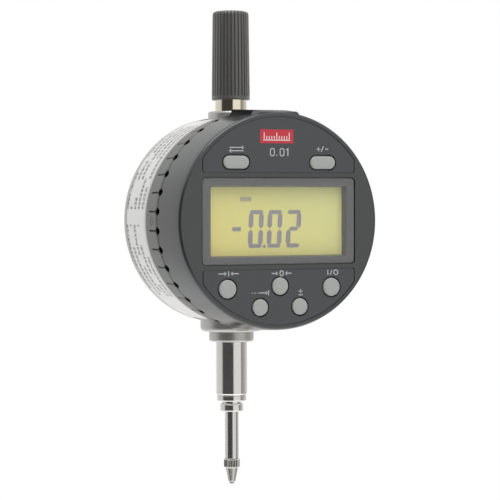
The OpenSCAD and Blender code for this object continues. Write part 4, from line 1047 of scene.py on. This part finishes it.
INSIDE = {
    "nitrile_rubber": (("202020", 0.7), ["back_gasket", "stem_seal", "cap_o_ring", "swivel_seal"]),
    "zinc_plated_steel": (("b9bab6", 0.3, 1.0), ["back_screws", "sensor_screws", "stop_pin",
                          "carrier_screw", "guide_pin", "stop_collar", "spring_seat",
                          "swivel_clip", "head_screws", "board_screws"]),
    "sintered_bronze": (("b08050", 0.42, 1.0, 0.12), ["lower_bush", "upper_bush"]),
    "machined_aluminium": (("b4b6b8", 0.34, 1.0), ["scale_carrier", "guide_rail", "swivel_hub"]),
    "solder_mask_board": (("1d5a38", 0.35), ["sensor_board", "display_board"]),
    "polyimide_film": (("b5722a", 0.3), ["sensor_flex", "display_flex"]),
    "graduated_glass": (("c8c090", 0.1, 0.0, 0.3, 0.0, 0.8), ["encoder_scale"]),
    "light_guide_acrylic": (("e8e9e2", 0.4), ["backlight"]),
    "grey_silicone": (("b4b4b0", 0.55), ["zebra_strips", "key_mat"]),
    "gold_plate": (("d8a850", 0.25, 1.0), ["battery_contacts", "port_contacts"]),
}
for finish, (values, nodes) in INSIDE.items():
    material = plain(finish, *values)
    for node in nodes:
        dressed(node, material)

spring_low, spring_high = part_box("return_spring")
wire_r, mean_r, turns = 0.25, 2.75, 11
foot, top = spring_low.z*1000 + wire_r, spring_high.z*1000 - wire_r
steps = turns*24
t = np.linspace(0, 1, steps)[:, None]
# The wire's centre climbs evenly, with one flat turn at each end.
climb = np.clip((t*turns - 1)/(turns - 2), 0, 1)
height = foot + 0.5*np.clip(t*turns, 0, 1) + (top - foot - 1.0)*climb + 0.5*np.clip(
    t*turns - turns + 1, 0, 1)
round_wire = np.linspace(0, 2*np.pi, 10, endpoint=False)[None, :]
coil = skin(upright(mean_r + wire_r*np.cos(round_wire), 2*np.pi*turns*t,
                    height + wire_r*np.sin(round_wire)).transpose(1, 0, 2), (True, False), caps=True)
spring = piece("coiled_spring", [coil], plain("spring_steel", "8c8d8d", 0.28, 1.0), "case",
               ["return_spring"], 60)
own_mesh(spring)


# ---- Floor ----
# A plain white sheet, well below the tool, which is held in the air.

def sheet_material():
    """Matt white paper, with the faintest cloud in its tone."""
    material = bpy.data.materials.new("white_paper")
    material.use_nodes = True
    tree = material.node_tree
    shader = tree.nodes["Principled BSDF"]
    shader.inputs["Roughness"].default_value = 0.9
    shader.inputs["Specular IOR Level"].default_value = 0.1
    shader.inputs["Emission Color"].default_value = (1.0, 1.0, 1.0, 1.0)
    shader.inputs["Emission Strength"].default_value = 0.05
    place = add(tree, "TexCoord").outputs["Object"]
    cloud = add(tree, "TexNoise", {"Vector": place, "Scale": 8.0, "Detail": 2.0})
    tone = add(tree, "MixRGB", {0: cloud.outputs[0], 1: paint("f6f6f6"), 2: paint("fafafa")})
    tree.links.new(tone.outputs[0], shader.inputs["Base Color"])
    return material


floor_drop, floor_reach = 900, 1500.0
floor_r = np.array([0, floor_reach])
floor_turn = np.linspace(0, 2*np.pi, 96, endpoint=False)[:, None]
floor_grid = upright(floor_r[None, :], floor_turn, cad_box[0].z*1000 - floor_drop)
corners, faces = skin(floor_grid, (True, False))
floor_mesh = bpy.data.meshes.new("floor")
floor_mesh.from_pydata(corners/1000, [], faces)
floor_mesh.materials.append(sheet_material())
floor = bpy.data.objects.new("floor", floor_mesh)
bpy.context.scene.collection.objects.link(floor)
